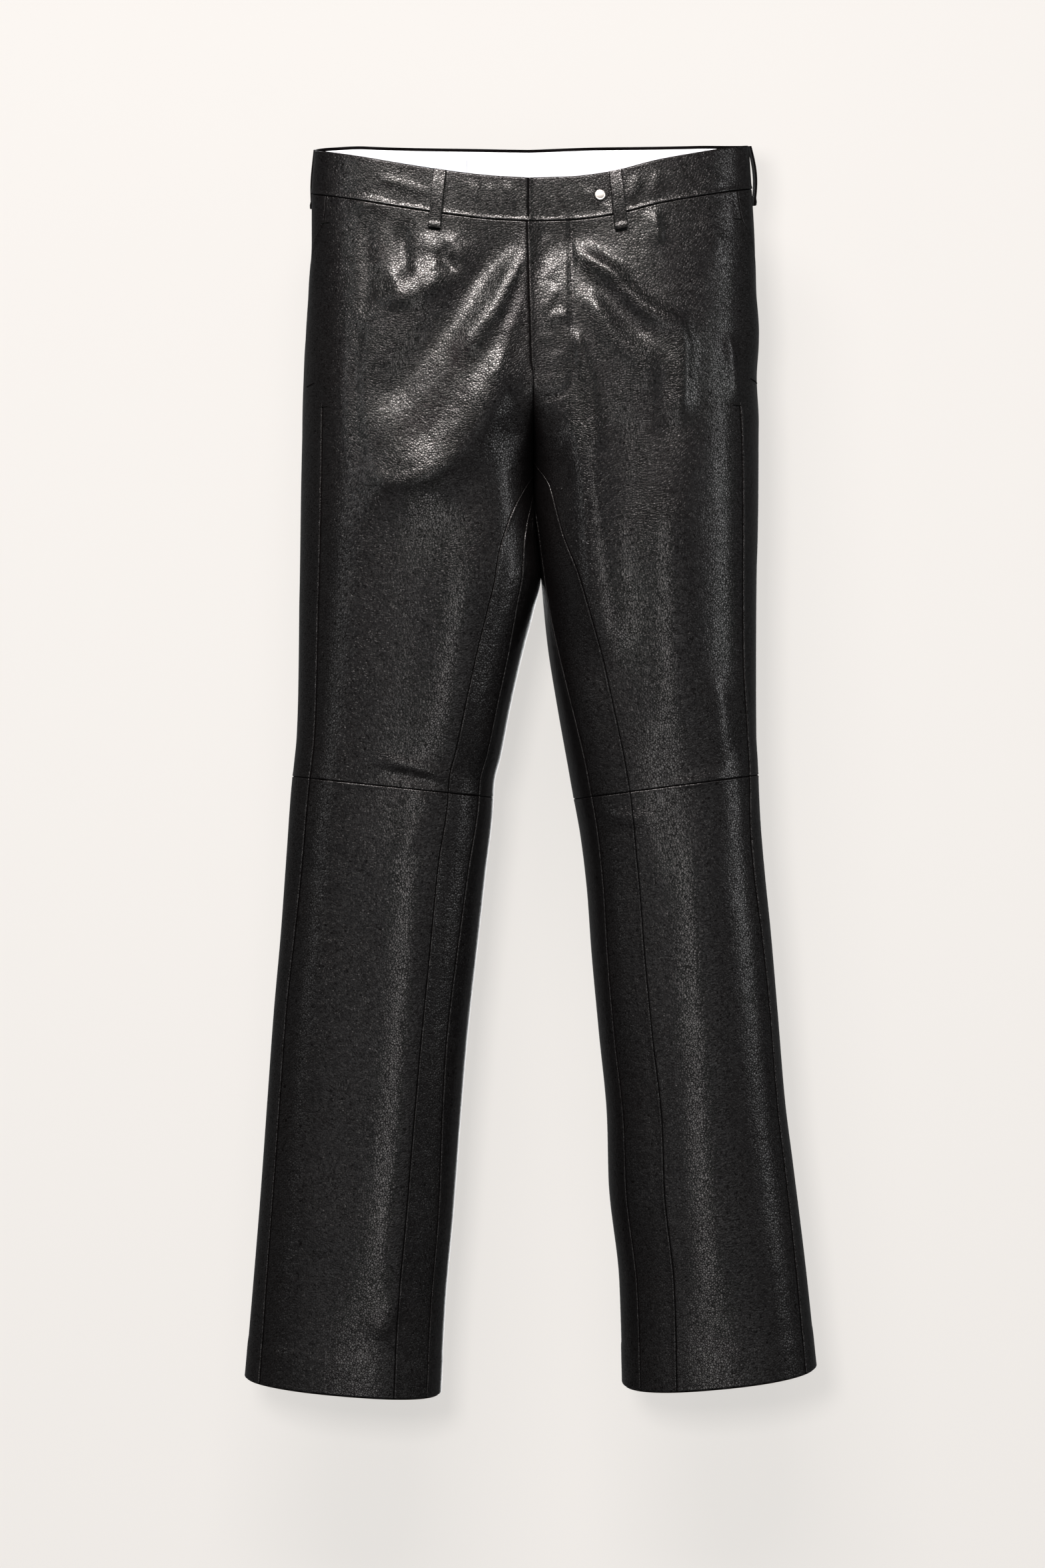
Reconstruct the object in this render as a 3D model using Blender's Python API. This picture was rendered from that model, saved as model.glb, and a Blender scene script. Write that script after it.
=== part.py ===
"""Leather trousers, hollow and filled out as when worn.

Lengths in the tables are millimetres and the scene is in metres, +Z up. The front faces -Y and +X is the wearer's
left. The origin is the centre of the waist, level with the waistband's top edge at the sides.

Every piece lies on one form. At each height the form has a section for each half of the body, from the centre
front round the outer side to the centre back. Below the crotch the section closes into a leg. A place on the form
is a leg, a height and an arc length along that section, and a depth inward from the outer surface.
"""
import math
from bisect import bisect_left

import bmesh
import bpy
from mathutils import Matrix, Vector

MM = 0.001
TURN_PACE = 40.0
WAIST_STATIONS = 26
RIGHT, LEFT = -1, 1
SIDE_NAMES = {RIGHT: "right", LEFT: "left"}
FRONT, BACK = "front", "back"

LEATHER = 1.5
SEAM_GAP = 0.3
BAND_HEIGHT = 38.0
BAND_WALL = 2.4
FACING_WALL = 1.0
FACING_DROP = 3.0
FACING_START = {RIGHT: 2, LEFT: 7}
LABEL_WIDTH = 59.0
LABEL_HEIGHT = 24.0
LABEL_WALL = 0.8
LABEL_CENTRE = 86.0
LABEL_DROP = 10.0
LOOP_WIDTH = 11.0
LOOP_LENGTH = 52.0
LOOP_WALL = 1.8
LOOP_SEAT = 0.6
LOOP_ROWS = 8
FRONT_SLACK = 1.8
BACK_SLACK = 1.8
SIDE_SLACK = {RIGHT: 0.6, LEFT: 3.2}
FRONT_LOOP = {RIGHT: (-77.8, -82.5), LEFT: (72.5, 77.8)}
SIDE_LOOP_TURN = {RIGHT: 2.12, LEFT: 2.04}
UNDERLAP_SEAM = 12.0
UNDERLAP_LENGTH = 68.0
UNDERLAP_WALL = 2.0
SNAP_ACROSS = 59.6
SNAP_DROP = 19.5
SNAP_RADIUS = 4.75
SNAP_HEIGHT = 1.8
SNAP_SEAT = 0.4
SNAP_CROWN = 0.82
SNAP_EDGE = 0.5

KNEE = -556.0
CROTCH = -298.0
CROTCH_MIDDLE = 5.0
FRONT_CURVE_TOP = -210.0
BACK_CURVE_TOP = -200.0
DART_TOP = -225.0
DIP_FULL = -45.0
DIP_END = -170.0
GUSSET_TOP = {RIGHT: -283.0, LEFT: -271.0}
TIP_CUT = 1.5
HEM = {RIGHT: -1076.5, LEFT: -1068.0}
HEM_PITCH = {RIGHT: 0.045, LEFT: 0.095}
FOLD_OVERRUN = 0.15
FOLD_FADE = 0.4
FOLD_FACING = 1.6
FOLD_CLEAR = 14.0

# Depths of the form. crest is where the front and back stand furthest out, as a share of the half's width.
PROFILE_COLUMNS = ("height", "front", "back", "crest", "round_in", "round_out")
PROFILE = (
    (0, -52, 56, 0.10, 2.0, 2.3),
    (-38, -56, 60, 0.12, 2.0, 2.3),
    (-80, -61, 67, 0.18, 2.0, 2.3),
    (-120, -65, 75, 0.24, 2.0, 2.3),
    (-160, -69, 83, 0.31, 2.0, 2.3),
    (-200, -72, 88, 0.38, 2.2, 2.3),
    (-245, -74, 89, 0.44, 2.7, 2.3),
    (-298, -75, 82, 0.48, 3.2, 2.3),
    (-345, -74, 74, 0.50, 3.3, 2.3),
    (-430, -69, 64, 0.50, 3.0, 2.3),
    (-521, -63, 56, 0.50, 2.7, 2.4),
    (-568, -60, 51, 0.50, 2.6, 2.4),
    (-655, -56, 50, 0.50, 2.6, 2.4),
    (-760, -53, 54, 0.50, 2.6, 2.4),
    (-900, -50, 54, 0.50, 2.5, 2.3),
    (-1080, -50, 51, 0.50, 2.4, 2.2),
)

# Where each half starts and ends from side to side. tilt lifts the outer edge of a level above its inner edge.
OUTLINE_COLUMNS = ("height", "inner", "outer", "tilt")
OUTLINE = {
    RIGHT: (
        (0, -1.5, -188.5, 0),
        (-38, -1.5, -191.0, 0),
        (-80, -0.5, -191.0, 0),
        (-120, 0.0, -193.5, 0),
        (-160, 1.0, -196.2, 0),
        (-215, 2.2, -198.5, 0),
        (-298, 2.6, -200.2, 0),
        (-340, 5.6, -200.6, 0),
        (-372, 9.0, -201.0, 0),
        (-403, 2.0, -201.5, 0.03),
        (-430, -5.6, -201.7, 0.05),
        (-480, -17.6, -202.3, 0.08),
        (-521, -26.0, -203.6, 0.105),
        (-544, -31.5, -205.8, 0.105),
        (-568, -32.8, -208.4, 0.105),
        (-620, -38.8, -212.2, 0.105),
        (-690, -46.6, -217.4, 0.105),
        (-760, -54.4, -223.8, 0.105),
        (-830, -60.4, -229.0, 0.105),
        (-920, -67.2, -235.6, 0.100),
        (-1000, -74.2, -242.2, 0.092),
        (-1080, -78.4, -249.2, 0.085),
    ),
    LEFT: (
        (0, -1.5, 190.5, 0),
        (-38, -1.5, 193.0, 0),
        (-80, -0.5, 195.5, 0),
        (-120, 0.0, 196.8, 0),
        (-160, 1.0, 199.6, 0),
        (-200, 2.0, 197.4, 0),
        (-240, 2.3, 199.2, 0),
        (-298, 2.6, 198.8, 0),
        (-340, 5.6, 198.0, 0),
        (-372, 9.0, 197.0, 0),
        (-430, 15.0, 196.5, 0.03),
        (-480, 23.6, 196.4, 0.08),
        (-521, 31.6, 196.6, 0.13),
        (-544, 35.6, 197.8, 0.13),
        (-591, 44.0, 199.9, 0.13),
        (-640, 49.6, 204.0, 0.12),
        (-690, 53.2, 209.2, 0.12),
        (-760, 59.6, 215.4, 0.118),
        (-840, 67.0, 222.2, 0.115),
        (-890, 68.2, 228.6, 0.110),
        (-980, 77.6, 239.8, 0.100),
        (-1072, 80.4, 249.6, 0.094),
    ),
}

# Seams of each leg, as distances across: gusset and inseam from the inner edge, the side dart from the outer edge.
SEAM_COLUMNS = ("height", "gusset", "inseam", "dart")
SEAMS = {
    RIGHT: (
        (-38, 0.0, 0.0, 36.0),
        (-150, 0.0, 0.0, 24.0),
        (-225, 0.0, 0.0, 19.5),
        (-283, 0.0, 0.0, 20.0),
        (-298, 7.0, 0.0, 20.0),
        (-313, 15.5, 3.0, 20.0),
        (-330, 24.0, 8.0, 19.7),
        (-378, 39.5, 16.5, 19.0),
        (-450, 39.0, 12.0, 18.0),
        (-556, 38.5, 12.5, 17.0),
        (-620, 41.0, 15.0, 16.0),
        (-760, 39.5, 17.5, 12.3),
        (-940, 40.5, 12.5, 12.3),
        (-1080, 39.5, 12.0, 14.5),
    ),
    LEFT: (
        (-38, 0.0, 0.0, 36.0),
        (-150, 0.0, 0.0, 24.0),
        (-225, 0.0, 0.0, 18.5),
        (-271, 0.0, 0.0, 16.5),
        (-298, 14.0, 0.0, 16.0),
        (-340, 22.5, 2.0, 15.0),
        (-380, 34.0, 3.0, 14.0),
        (-450, 45.0, 9.5, 13.0),
        (-540, 47.5, 15.0, 9.0),
        (-620, 44.0, 14.0, 11.0),
        (-760, 44.5, 12.5, 8.0),
        (-880, 46.5, 14.0, 8.5),
        (-1075, 45.5, 15.0, 11.0),
    ),
}

# The seam between front and back, which is the pocket mouth from its upper tack to its lower one. turn counts
# quarters of the section from the centre front, so that 2 is the outermost point.
SIDE_COLUMNS = ("height", "turn")
SIDE_SEAM = (
    (-38, 1.72),
    (-62, 1.74),
    (-80, 1.85),
    (-104, 1.97),
    (-150, 2.03),
    (-201, 1.95),
    (-250, 2.01),
    (-300, 2.04),
    (-1080, 2.04),
)

# The waistline's height above or below its level. round is the share of the way from centre front to centre back.
WAIST_COLUMNS = ("round", "right", "left")
WAISTLINE = (
    (0.00, -33.0, -33.0),
    (0.08, -31.0, -32.0),
    (0.16, -27.0, -27.8),
    (0.26, -20.0, -16.6),
    (0.35, -12.5, -8.5),
    (0.43, -6.0, -1.5),
    (0.50, 0.0, 3.5),
    (0.57, 6.0, 7.5),
    (0.65, 9.5, 10.0),
    (0.84, 9.8, 11.0),
    (1.00, 9.0, 9.0),
)

# Large folds, each along a line on the front or back of a leg. rise above zero is a ridge, below zero a trough.
FOLD_COLUMNS = ("leg", "face", "top_x", "top_z", "foot_x", "foot_z", "half_width", "rise")
FOLDS = (
    (RIGHT, FRONT, -112, -50, -104, -140, 22, 2.8),
    (RIGHT, FRONT, -6, -91, -61, -282, 20, 4.2),
    (RIGHT, FRONT, -46, -248, -132, -306, 34, 7.0),
    (RIGHT, FRONT, -35, -316, -70, -556, 32, 4.6),
    (RIGHT, FRONT, -142, -537, -84, -541, 10, 2.0),
    (RIGHT, FRONT, -99, -561, -134, -1046, 32, 4.2),
    (LEFT, FRONT, 37, -105, 132, -163, 15, 3.4),
    (LEFT, FRONT, 136, -163, 138, -260, 15, 3.4),
    (LEFT, FRONT, 43, -214, 93, -419, 24, 4.6),
    (LEFT, FRONT, 142, -222, 134, -556, 30, 4.4),
    (LEFT, FRONT, 86, -190, 110, -340, 16, -2.4),
    (LEFT, FRONT, 132, -561, 155, -1041, 32, 4.4),
    (RIGHT, BACK, -30, -270, -118, -372, 26, -2.4),
    (LEFT, BACK, 34, -266, 122, -366, 26, -2.4),
    (RIGHT, BACK, -60, -120, -92, -250, 26, 2.6),
    (LEFT, BACK, 64, -130, 96, -256, 26, 2.6),
    (RIGHT, BACK, -150, -540, -60, -552, 14, -3.0),
    (LEFT, BACK, 60, -532, 160, -548, 14, -3.0),
    (RIGHT, BACK, -136, -640, -120, -1000, 30, 2.2),
    (LEFT, BACK, 124, -630, 152, -990, 30, 2.2),
)

# Levels shared by all the panels, so that neighbours meet point to point along a seam.
LEVELS = (
    -62, -80, -104, -127, -150, -180, -201, -225, -245, -260, -277, -289, -294, -298,
    -306, -320, -340, -359, -378, -403, -430, -455, -480, -502, -521, -533, -544, -568, -582, -600,
    -625, -655, -690, -725, -760, -800, -840, -880, -920, -960, -1000, -1040,
)

LEATHER_BLACK = ("black_leather", (0.020, 0.018, 0.017), 0.42, 0.0)
COTTON_WHITE = ("white_cotton", (0.80, 0.81, 0.83), 0.90, 0.0)
LABEL_WHITE = ("woven_label", (0.74, 0.78, 0.84), 0.85, 0.0)
SNAP_STEEL = ("satin_steel", (0.62, 0.60, 0.58), 0.35, 1.0)


class Table:
    """Rows of values keyed by their first column, read between rows along smooth curves without overshoot."""

    def __init__(self, columns, rows):
        ordered = sorted(rows)
        self.keys = [row[0] for row in ordered]
        self.columns = {name: [row[i] for row in ordered] for i, name in enumerate(columns)}
        self.slopes = {name: self.slopes_of(values) for name, values in self.columns.items()}

    def slopes_of(self, values):
        widths = [high - low for low, high in zip(self.keys, self.keys[1:])]
        rates = [(high - low) / width for low, high, width in zip(values, values[1:], widths)]
        slopes = [rates[0]]
        for i in range(1, len(rates)):
            if rates[i - 1] * rates[i] <= 0:
                slopes.append(0.0)
                continue
            before = (2 * widths[i] + widths[i - 1]) / rates[i - 1]
            after = (widths[i] + 2 * widths[i - 1]) / rates[i]
            slopes.append(3 * (widths[i] + widths[i - 1]) / (before + after))
        return slopes + [rates[-1]]

    def value(self, column, key):
        key = min(max(key, self.keys[0]), self.keys[-1])
        low = min(max(bisect_left(self.keys, key) - 1, 0), len(self.keys) - 2)
        width = self.keys[low + 1] - self.keys[low]
        part = (key - self.keys[low]) / width
        values, slopes = self.columns[column], self.slopes[column]
        return (
            values[low] * (1 + 2 * part) * (1 - part) ** 2
            + values[low + 1] * part**2 * (3 - 2 * part)
            + slopes[low] * width * part * (1 - part) ** 2
            + slopes[low + 1] * width * part**2 * (part - 1)
        )


FORM_DEPTHS = Table(PROFILE_COLUMNS, PROFILE)
LEG_OUTLINES = {leg: Table(OUTLINE_COLUMNS, rows) for leg, rows in OUTLINE.items()}
LEG_SEAMS = {leg: Table(SEAM_COLUMNS, rows) for leg, rows in SEAMS.items()}
SIDE_TURNS = Table(SIDE_COLUMNS, SIDE_SEAM)
WAIST_DIPS = Table(WAIST_COLUMNS, WAISTLINE)
LARGE_FOLDS = [dict(zip(FOLD_COLUMNS, row)) for row in FOLDS]


def interpolate(keys, values, key):
    low = min(max(bisect_left(keys, key) - 1, 0), len(keys) - 2)
    part = (key - keys[low]) / max(keys[low + 1] - keys[low], 1e-9)
    return values[low] + (values[low + 1] - values[low]) * part


def smooth_step(share):
    share = min(max(share, 0.0), 1.0)
    return share * share * (3 - 2 * share)


def crotch_share(height, curve_top):
    """How far out the centre seam is at a height: 1 above the crotch curve, falling smoothly to 0 at its foot."""
    return 1 - smooth_step((curve_top - max(height, CROTCH)) / (curve_top - CROTCH))


class Section:
    """One leg's outline at one height: points from the inner front round the outside to the inner back."""

    STEPS = 60

    def __init__(self, leg, height):
        self.leg = leg
        self.height = height
        self.closed = height < CROTCH
        shape = {column: FORM_DEPTHS.value(column, height) for column in PROFILE_COLUMNS[1:]}
        self.inner = LEG_OUTLINES[leg].value("inner", height) + leg * SEAM_GAP / 2
        self.outer = LEG_OUTLINES[leg].value("outer", height)
        self.tilt = LEG_OUTLINES[leg].value("tilt", height)
        self.points = self.trace(shape)
        self.arcs = [0.0]
        self.paces = [0.0]
        heading = None
        for near, far in zip(self.points, self.points[1:]):
            step = math.dist(near, far)
            ahead = math.atan2(far[1] - near[1], far[0] - near[0])
            turned = abs(math.remainder(ahead - (ahead if heading is None else heading), math.tau))
            self.arcs.append(self.arcs[-1] + step)
            self.paces.append(self.paces[-1] + step + TURN_PACE * turned)
            heading = ahead
        self.length = self.arcs[-1]

    def trace(self, shape):
        inner, outer, front, back = self.inner, self.outer, shape["front"], shape["back"]
        crest = inner + shape["crest"] * (outer - inner)
        side = (front + back) / 2
        start = CROTCH_MIDDLE + (front - CROTCH_MIDDLE) * crotch_share(self.height, FRONT_CURVE_TOP)
        end = CROTCH_MIDDLE + (back - CROTCH_MIDDLE) * crotch_share(self.height, BACK_CURVE_TOP)
        quarters = (
            (inner, start, crest, front, "round_in", True),
            (crest, front, outer, side, "round_out", False),
            (outer, side, crest, back, "round_out", True),
            (crest, back, inner, end, "round_in", False),
        )
        points = []
        for x0, y0, x1, y1, bend, from_side in quarters:
            power = 2 / shape[bend]
            for i in range(self.STEPS):
                angle = math.pi / 2 * i / self.STEPS
                rise = math.sin(angle) ** power
                run = 1 - math.cos(angle) ** power
                along_x, along_y = (run, rise) if from_side else (rise, run)
                points.append((x0 + (x1 - x0) * along_x, y0 + (y1 - y0) * along_y))
        points.append((inner, end))
        return points

    def arc_at_turn(self, turn):
        place = turn * self.STEPS
        low = min(int(place), len(self.arcs) - 2)
        return self.arcs[low] + (self.arcs[low + 1] - self.arcs[low]) * (place - low)

    def arc_at_x(self, x, face=FRONT):
        """The arc length where the front or the back of the section passes x."""
        first = 0 if face == FRONT else 2 * self.STEPS
        for i in range(first, first + 2 * self.STEPS):
            near, far = self.points[i][0], self.points[i + 1][0]
            if (x - near) * (x - far) <= 0 and near != far:
                return self.arcs[i] + (self.arcs[i + 1] - self.arcs[i]) * (x - near) / (far - near)
        return 0.0 if face == FRONT else self.length

    def between(self, start, end, share):
        """The arc length at a share of the way between two, in steps that are shorter where the section turns."""
        lap = self.paces[-1]

        def pace(arc):
            over = arc > self.length
            return interpolate(self.arcs, self.paces, arc - self.length if over else arc) + (lap if over else 0)

        wanted = pace(start) + (pace(end) - pace(start)) * share
        if wanted > lap:
            return interpolate(self.paces, self.arcs, wanted - lap) + self.length
        return interpolate(self.paces, self.arcs, wanted)

    def place(self, arc):
        """The point and outward direction at an arc length within the section."""
        low = min(max(bisect_left(self.arcs, arc) - 1, 0), len(self.arcs) - 2)
        high = low + 1
        part = (arc - self.arcs[low]) / max(self.arcs[high] - self.arcs[low], 1e-9)
        (x0, y0), (x1, y1) = self.points[low], self.points[high]
        directions = self.direction(low), self.direction(high)
        along_x = directions[0][0] + (directions[1][0] - directions[0][0]) * part
        along_y = directions[0][1] + (directions[1][1] - directions[0][1]) * part
        size = math.hypot(along_x, along_y)
        out = (self.leg * along_y / size, -self.leg * along_x / size)
        return x0 + (x1 - x0) * part, y0 + (y1 - y0) * part, out

    def within(self, arc):
        """A closed section goes round again past its end, and an open one stops there."""
        return arc % self.length if self.closed else min(max(arc, 0.0), self.length)

    def direction(self, i):
        last = len(self.points) - 1
        if self.closed:
            before = self.points[i - 1 if i > 0 else last - 1]
            after = self.points[i + 1 if i < last else 1]
        else:
            before = self.points[max(i - 1, 0)]
            after = self.points[min(i + 1, last)]
        size = math.dist(before, after)
        return (after[0] - before[0]) / size, (after[1] - before[1]) / size


SECTIONS = {}


def section(leg, height):
    if (leg, height) not in SECTIONS:
        SECTIONS[leg, height] = Section(leg, height)
    return SECTIONS[leg, height]


def fold_rise(leg, face, x, z):
    """How far the folds lift the surface outward at a place on a leg's front or back."""
    total = 0.0
    for fold in LARGE_FOLDS:
        if fold["leg"] != leg or fold["face"] != face:
            continue
        run_x = fold["foot_x"] - fold["top_x"]
        run_z = fold["foot_z"] - fold["top_z"]
        length = math.hypot(run_x, run_z)
        along = ((x - fold["top_x"]) * run_x + (z - fold["top_z"]) * run_z) / length**2
        across = ((x - fold["top_x"]) * run_z - (z - fold["top_z"]) * run_x) / length
        ends = smooth_step((along + FOLD_OVERRUN) / FOLD_FADE)
        ends *= smooth_step((1 + FOLD_OVERRUN - along) / FOLD_FADE)
        total += fold["rise"] * ends * math.exp(-((across / fold["half_width"]) ** 2))
    return total


def form_point(leg, height, arc, depth):
    """The place at a depth under the form's outer surface, in metres."""
    here = section(leg, height)
    arc = here.within(arc)
    x, y, out = here.place(arc)
    dip = WAIST_DIPS.value(SIDE_NAMES[leg], arc / here.length)
    z = height + dip * smooth_step((height - DIP_END) / (DIP_FULL - DIP_END))
    z += here.tilt * leg * (x - (here.inner + here.outer) / 2)
    z += HEM_PITCH[leg] * y * smooth_step((KNEE - height) / (KNEE - HEM[leg]))
    facing = smooth_step(abs(out[1]) * FOLD_FACING) * smooth_step(abs(x - here.inner) / FOLD_CLEAR)
    lift = fold_rise(leg, FRONT if out[1] < 0 else BACK, x, z) * facing
    return Vector((x + out[0] * (lift - depth), y + out[1] * (lift - depth), z)) * MM


def gusset_seam(leg, height):
    """The seam between front and gusset, which runs into the centre front at the gusset's tip."""
    if height >= GUSSET_TOP[leg]:
        return 0.0
    here = section(leg, height)
    return here.arc_at_x(here.inner + leg * LEG_SEAMS[leg].value("gusset", height))


def inseam(leg, height):
    """The seam between gusset and back, which ends at the crotch."""
    if height >= CROTCH:
        return 0.0
    here = section(leg, height)
    return here.arc_at_x(here.inner + leg * LEG_SEAMS[leg].value("inseam", height))


def inseam_from_back(leg, height):
    return section(leg, height).length + inseam(leg, height)


def dart_seam(leg, height):
    here = section(leg, height)
    return here.arc_at_x(here.outer - leg * LEG_SEAMS[leg].value("dart", height))


def side_seam(leg, height):
    return section(leg, height).arc_at_turn(SIDE_TURNS.value("turn", height))


def border_arcs(leg, height, borders):
    """The arc lengths of a panel's seams at a height, its two outer ones drawn in by half a seam gap.

    Along the straight part of the centre seam the two halves already stand that far apart.
    """
    arcs = [border(leg, height) for border in borders]
    if arcs[0] > 0 or height < FRONT_CURVE_TOP:
        arcs[0] += SEAM_GAP / 2
    if arcs[-1] != section(leg, height).length or height < BACK_CURVE_TOP:
        arcs[-1] -= SEAM_GAP / 2
    return arcs


def panel_levels(leg, top, bottom):
    """The levels of a panel's rows, its ends drawn in by half a seam gap."""
    tip = GUSSET_TOP[leg]
    shared = [level for level in LEVELS if min(abs(level - tip), abs(level - tip + TIP_CUT)) > 2]
    shared = sorted(shared + [tip, tip - TIP_CUT], reverse=True)
    inside = [level for level in shared if bottom + 4 < level < top - 4]
    return [top - SEAM_GAP / 2] + inside + [bottom + SEAM_GAP / 2]


def wall_mesh(name, columns, rows, slit, place):
    """A closed wall: a grid sheet, cut up a slit if there is one, extruded into a wall and moved into place.

    place(column, row, side, inside) gives a vertex its position. side is -1 or 1 next to the slit, else 0.
    """
    shape = bmesh.new()
    bmesh.ops.create_grid(shape, x_segments=columns, y_segments=rows, size=0.5)
    side_of = shape.verts.layers.int.new("side")
    inside_of = shape.verts.layers.int.new("inside")
    for vert in shape.verts:
        vert.co.x = round((vert.co.x + 0.5) * columns)
        vert.co.y = round((vert.co.y + 0.5) * rows)
    if slit:
        slit_column, slit_row = slit
        cut = [
            edge
            for edge in shape.edges
            if all(v.co.x == slit_column and v.co.y >= slit_row for v in edge.verts)
        ]
        bmesh.ops.split_edges(shape, edges=cut)
        for vert in shape.verts:
            if vert.co.x == slit_column and vert.co.y > slit_row:
                middle = sum(face.calc_center_median().x for face in vert.link_faces)
                vert[side_of] = -1 if middle / len(vert.link_faces) < slit_column else 1
    sheet = list(shape.faces)
    for vert in shape.verts:
        vert[inside_of] = 1
    made = bmesh.ops.extrude_face_region(shape, geom=sheet, use_keep_orig=True)
    for vert in made["geom"]:
        if isinstance(vert, bmesh.types.BMVert):
            vert[inside_of] = 0
    for vert in shape.verts:
        vert.co = place(round(vert.co.x), round(vert.co.y), vert[side_of], vert[inside_of])
    if shape.calc_volume(signed=True) < 0:
        bmesh.ops.reverse_faces(shape, faces=shape.faces)
    mesh = bpy.data.meshes.new(name)
    shape.to_mesh(mesh)
    shape.free()
    return mesh


def material(kind):
    name, colour, roughness, metallic = kind
    if name in bpy.data.materials:
        return bpy.data.materials[name]
    made = bpy.data.materials.new(name)
    made.use_nodes = True
    shader = made.node_tree.nodes["Principled BSDF"]
    shader.inputs["Base Color"].default_value = (*colour, 1.0)
    shader.inputs["Roughness"].default_value = roughness
    shader.inputs["Metallic"].default_value = metallic
    return made


def add_piece(name, mesh, kind):
    piece = bpy.data.objects.new(name, mesh)
    mesh.materials.append(material(kind))
    mesh.shade_smooth()
    mesh.set_sharp_from_angle(angle=math.radians(40))
    TROUSERS.objects.link(piece)
    return piece


def panel(name, leg, top, bottom, borders, columns, slit_top=None):
    """A leather panel between seams: borders lists its seams in order and columns the faces between them."""
    levels = panel_levels(leg, top, bottom)
    starts = [sum(columns[:i]) for i in range(len(borders))]
    slit = None
    if slit_top is not None:
        slit = (starts[1], min(range(len(levels)), key=lambda i: abs(levels[i] - slit_top)))

    def place(column, row, side, inside):
        height = levels[row]
        arcs = border_arcs(leg, height, borders)
        span = min(i for i in range(len(columns)) if column <= starts[i + 1])
        part = (column - starts[span]) / columns[span]
        arc = section(leg, height).between(arcs[span], arcs[span + 1], part) + side * SEAM_GAP / 2
        return form_point(leg, height, arc, LEATHER * inside)

    mesh = wall_mesh(name, sum(columns), len(levels) - 1, slit, place)
    return add_piece(name, mesh, LEATHER_BLACK)


def strip_round_waist(name, leg, first, top, bottom, rows, near, wall, kind):
    """A strip round one half of the waist, from one of its stations to the centre back."""

    def place(column, row, side, inside):
        height = top + (bottom - top) * row / rows
        here = section(leg, height)
        arc = here.between(0.0, here.length, (first + column) / WAIST_STATIONS)
        return form_point(leg, height, arc, near + wall * inside)

    mesh = wall_mesh(name, WAIST_STATIONS - first, rows, None, place)
    return add_piece(name, mesh, kind)


def across_point(face, x, height, depth):
    """A place on the front or back by its distance from the centre, on whichever half that is."""
    leg = LEFT if x >= section(LEFT, height).inner - SEAM_GAP / 2 else RIGHT
    return form_point(leg, height, section(leg, height).arc_at_x(x, face), depth)


def centre_strip(name, face, start_x, end_x, top, bottom, columns, near, wall, kind):
    """A strip that may cross the centre line, between two distances across."""

    def place(column, row, side, inside):
        height = top + (bottom - top) * row / 2
        x = start_x + (end_x - start_x) * column / columns
        return across_point(face, x, height, near + wall * inside)

    return add_piece(name, wall_mesh(name, columns, 2, None, place), kind)


def loop_strip(name, slack, middle_at):
    """A belt loop, sewn down at both ends and slack between them.

    middle_at(height, share, sideways, depth) gives a place on the loop at a share of the way down it.
    """

    def place(column, row, side, inside):
        share = row / LOOP_ROWS
        stand = LOOP_SEAT + slack * math.sin(math.pi * share)
        depth = -stand - (0 if inside else LOOP_WALL)
        return middle_at(-SEAM_GAP - LOOP_LENGTH * share, share, (column - 1) * LOOP_WIDTH / 2, depth)

    return add_piece(name, wall_mesh(name, 2, LOOP_ROWS, None, place), LEATHER_BLACK)


def belt_loop(name, leg, top_x, foot_x):
    def middle_at(height, share, sideways, depth):
        arc = section(leg, height).arc_at_x(top_x + (foot_x - top_x) * share)
        return form_point(leg, height, arc + sideways, depth)

    return loop_strip(name, FRONT_SLACK, middle_at)


def side_loop(name, leg):
    def middle_at(height, share, sideways, depth):
        arc = section(leg, height).arc_at_turn(SIDE_LOOP_TURN[leg])
        return form_point(leg, height, arc + sideways, depth)

    return loop_strip(name, SIDE_SLACK[leg], middle_at)


def centre_back_loop(name):
    def middle_at(height, share, sideways, depth):
        return across_point(BACK, section(LEFT, height).inner + sideways, height, depth)

    return loop_strip(name, BACK_SLACK, middle_at)


def snap_cap(name):
    """The snap's domed cap, square to the band."""
    base = across_point(FRONT, SNAP_ACROSS, -SNAP_DROP, -SNAP_SEAT)
    sideways = across_point(FRONT, SNAP_ACROSS + SNAP_RADIUS, -SNAP_DROP, -SNAP_SEAT) - base
    upward = across_point(FRONT, SNAP_ACROSS, SNAP_RADIUS - SNAP_DROP, -SNAP_SEAT) - base
    out = sideways.cross(upward).normalized()
    shape = bmesh.new()
    made = bmesh.ops.create_cone(
        shape,
        cap_ends=True,
        segments=32,
        radius1=SNAP_RADIUS * MM,
        radius2=SNAP_RADIUS * SNAP_CROWN * MM,
        depth=SNAP_HEIGHT * MM,
    )
    top = [v for v in made["verts"] if v.co.z > 0]
    rim = [e for e in shape.edges if all(v in top for v in e.verts)]
    bmesh.ops.bevel(
        shape, geom=rim, offset=SNAP_EDGE * MM, segments=2, profile=0.5, affect="EDGES", material=-1
    )
    lift = Matrix.Translation((0, 0, SNAP_HEIGHT / 2 * MM))
    turn = Vector((0, 0, 1)).rotation_difference(out).to_matrix().to_4x4()
    bmesh.ops.transform(shape, matrix=Matrix.Translation(base) @ turn @ lift, verts=shape.verts)
    bmesh.ops.recalc_face_normals(shape, faces=shape.faces)
    mesh = bpy.data.meshes.new(name)
    shape.to_mesh(mesh)
    shape.free()
    return add_piece(name, mesh, SNAP_STEEL)


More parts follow.
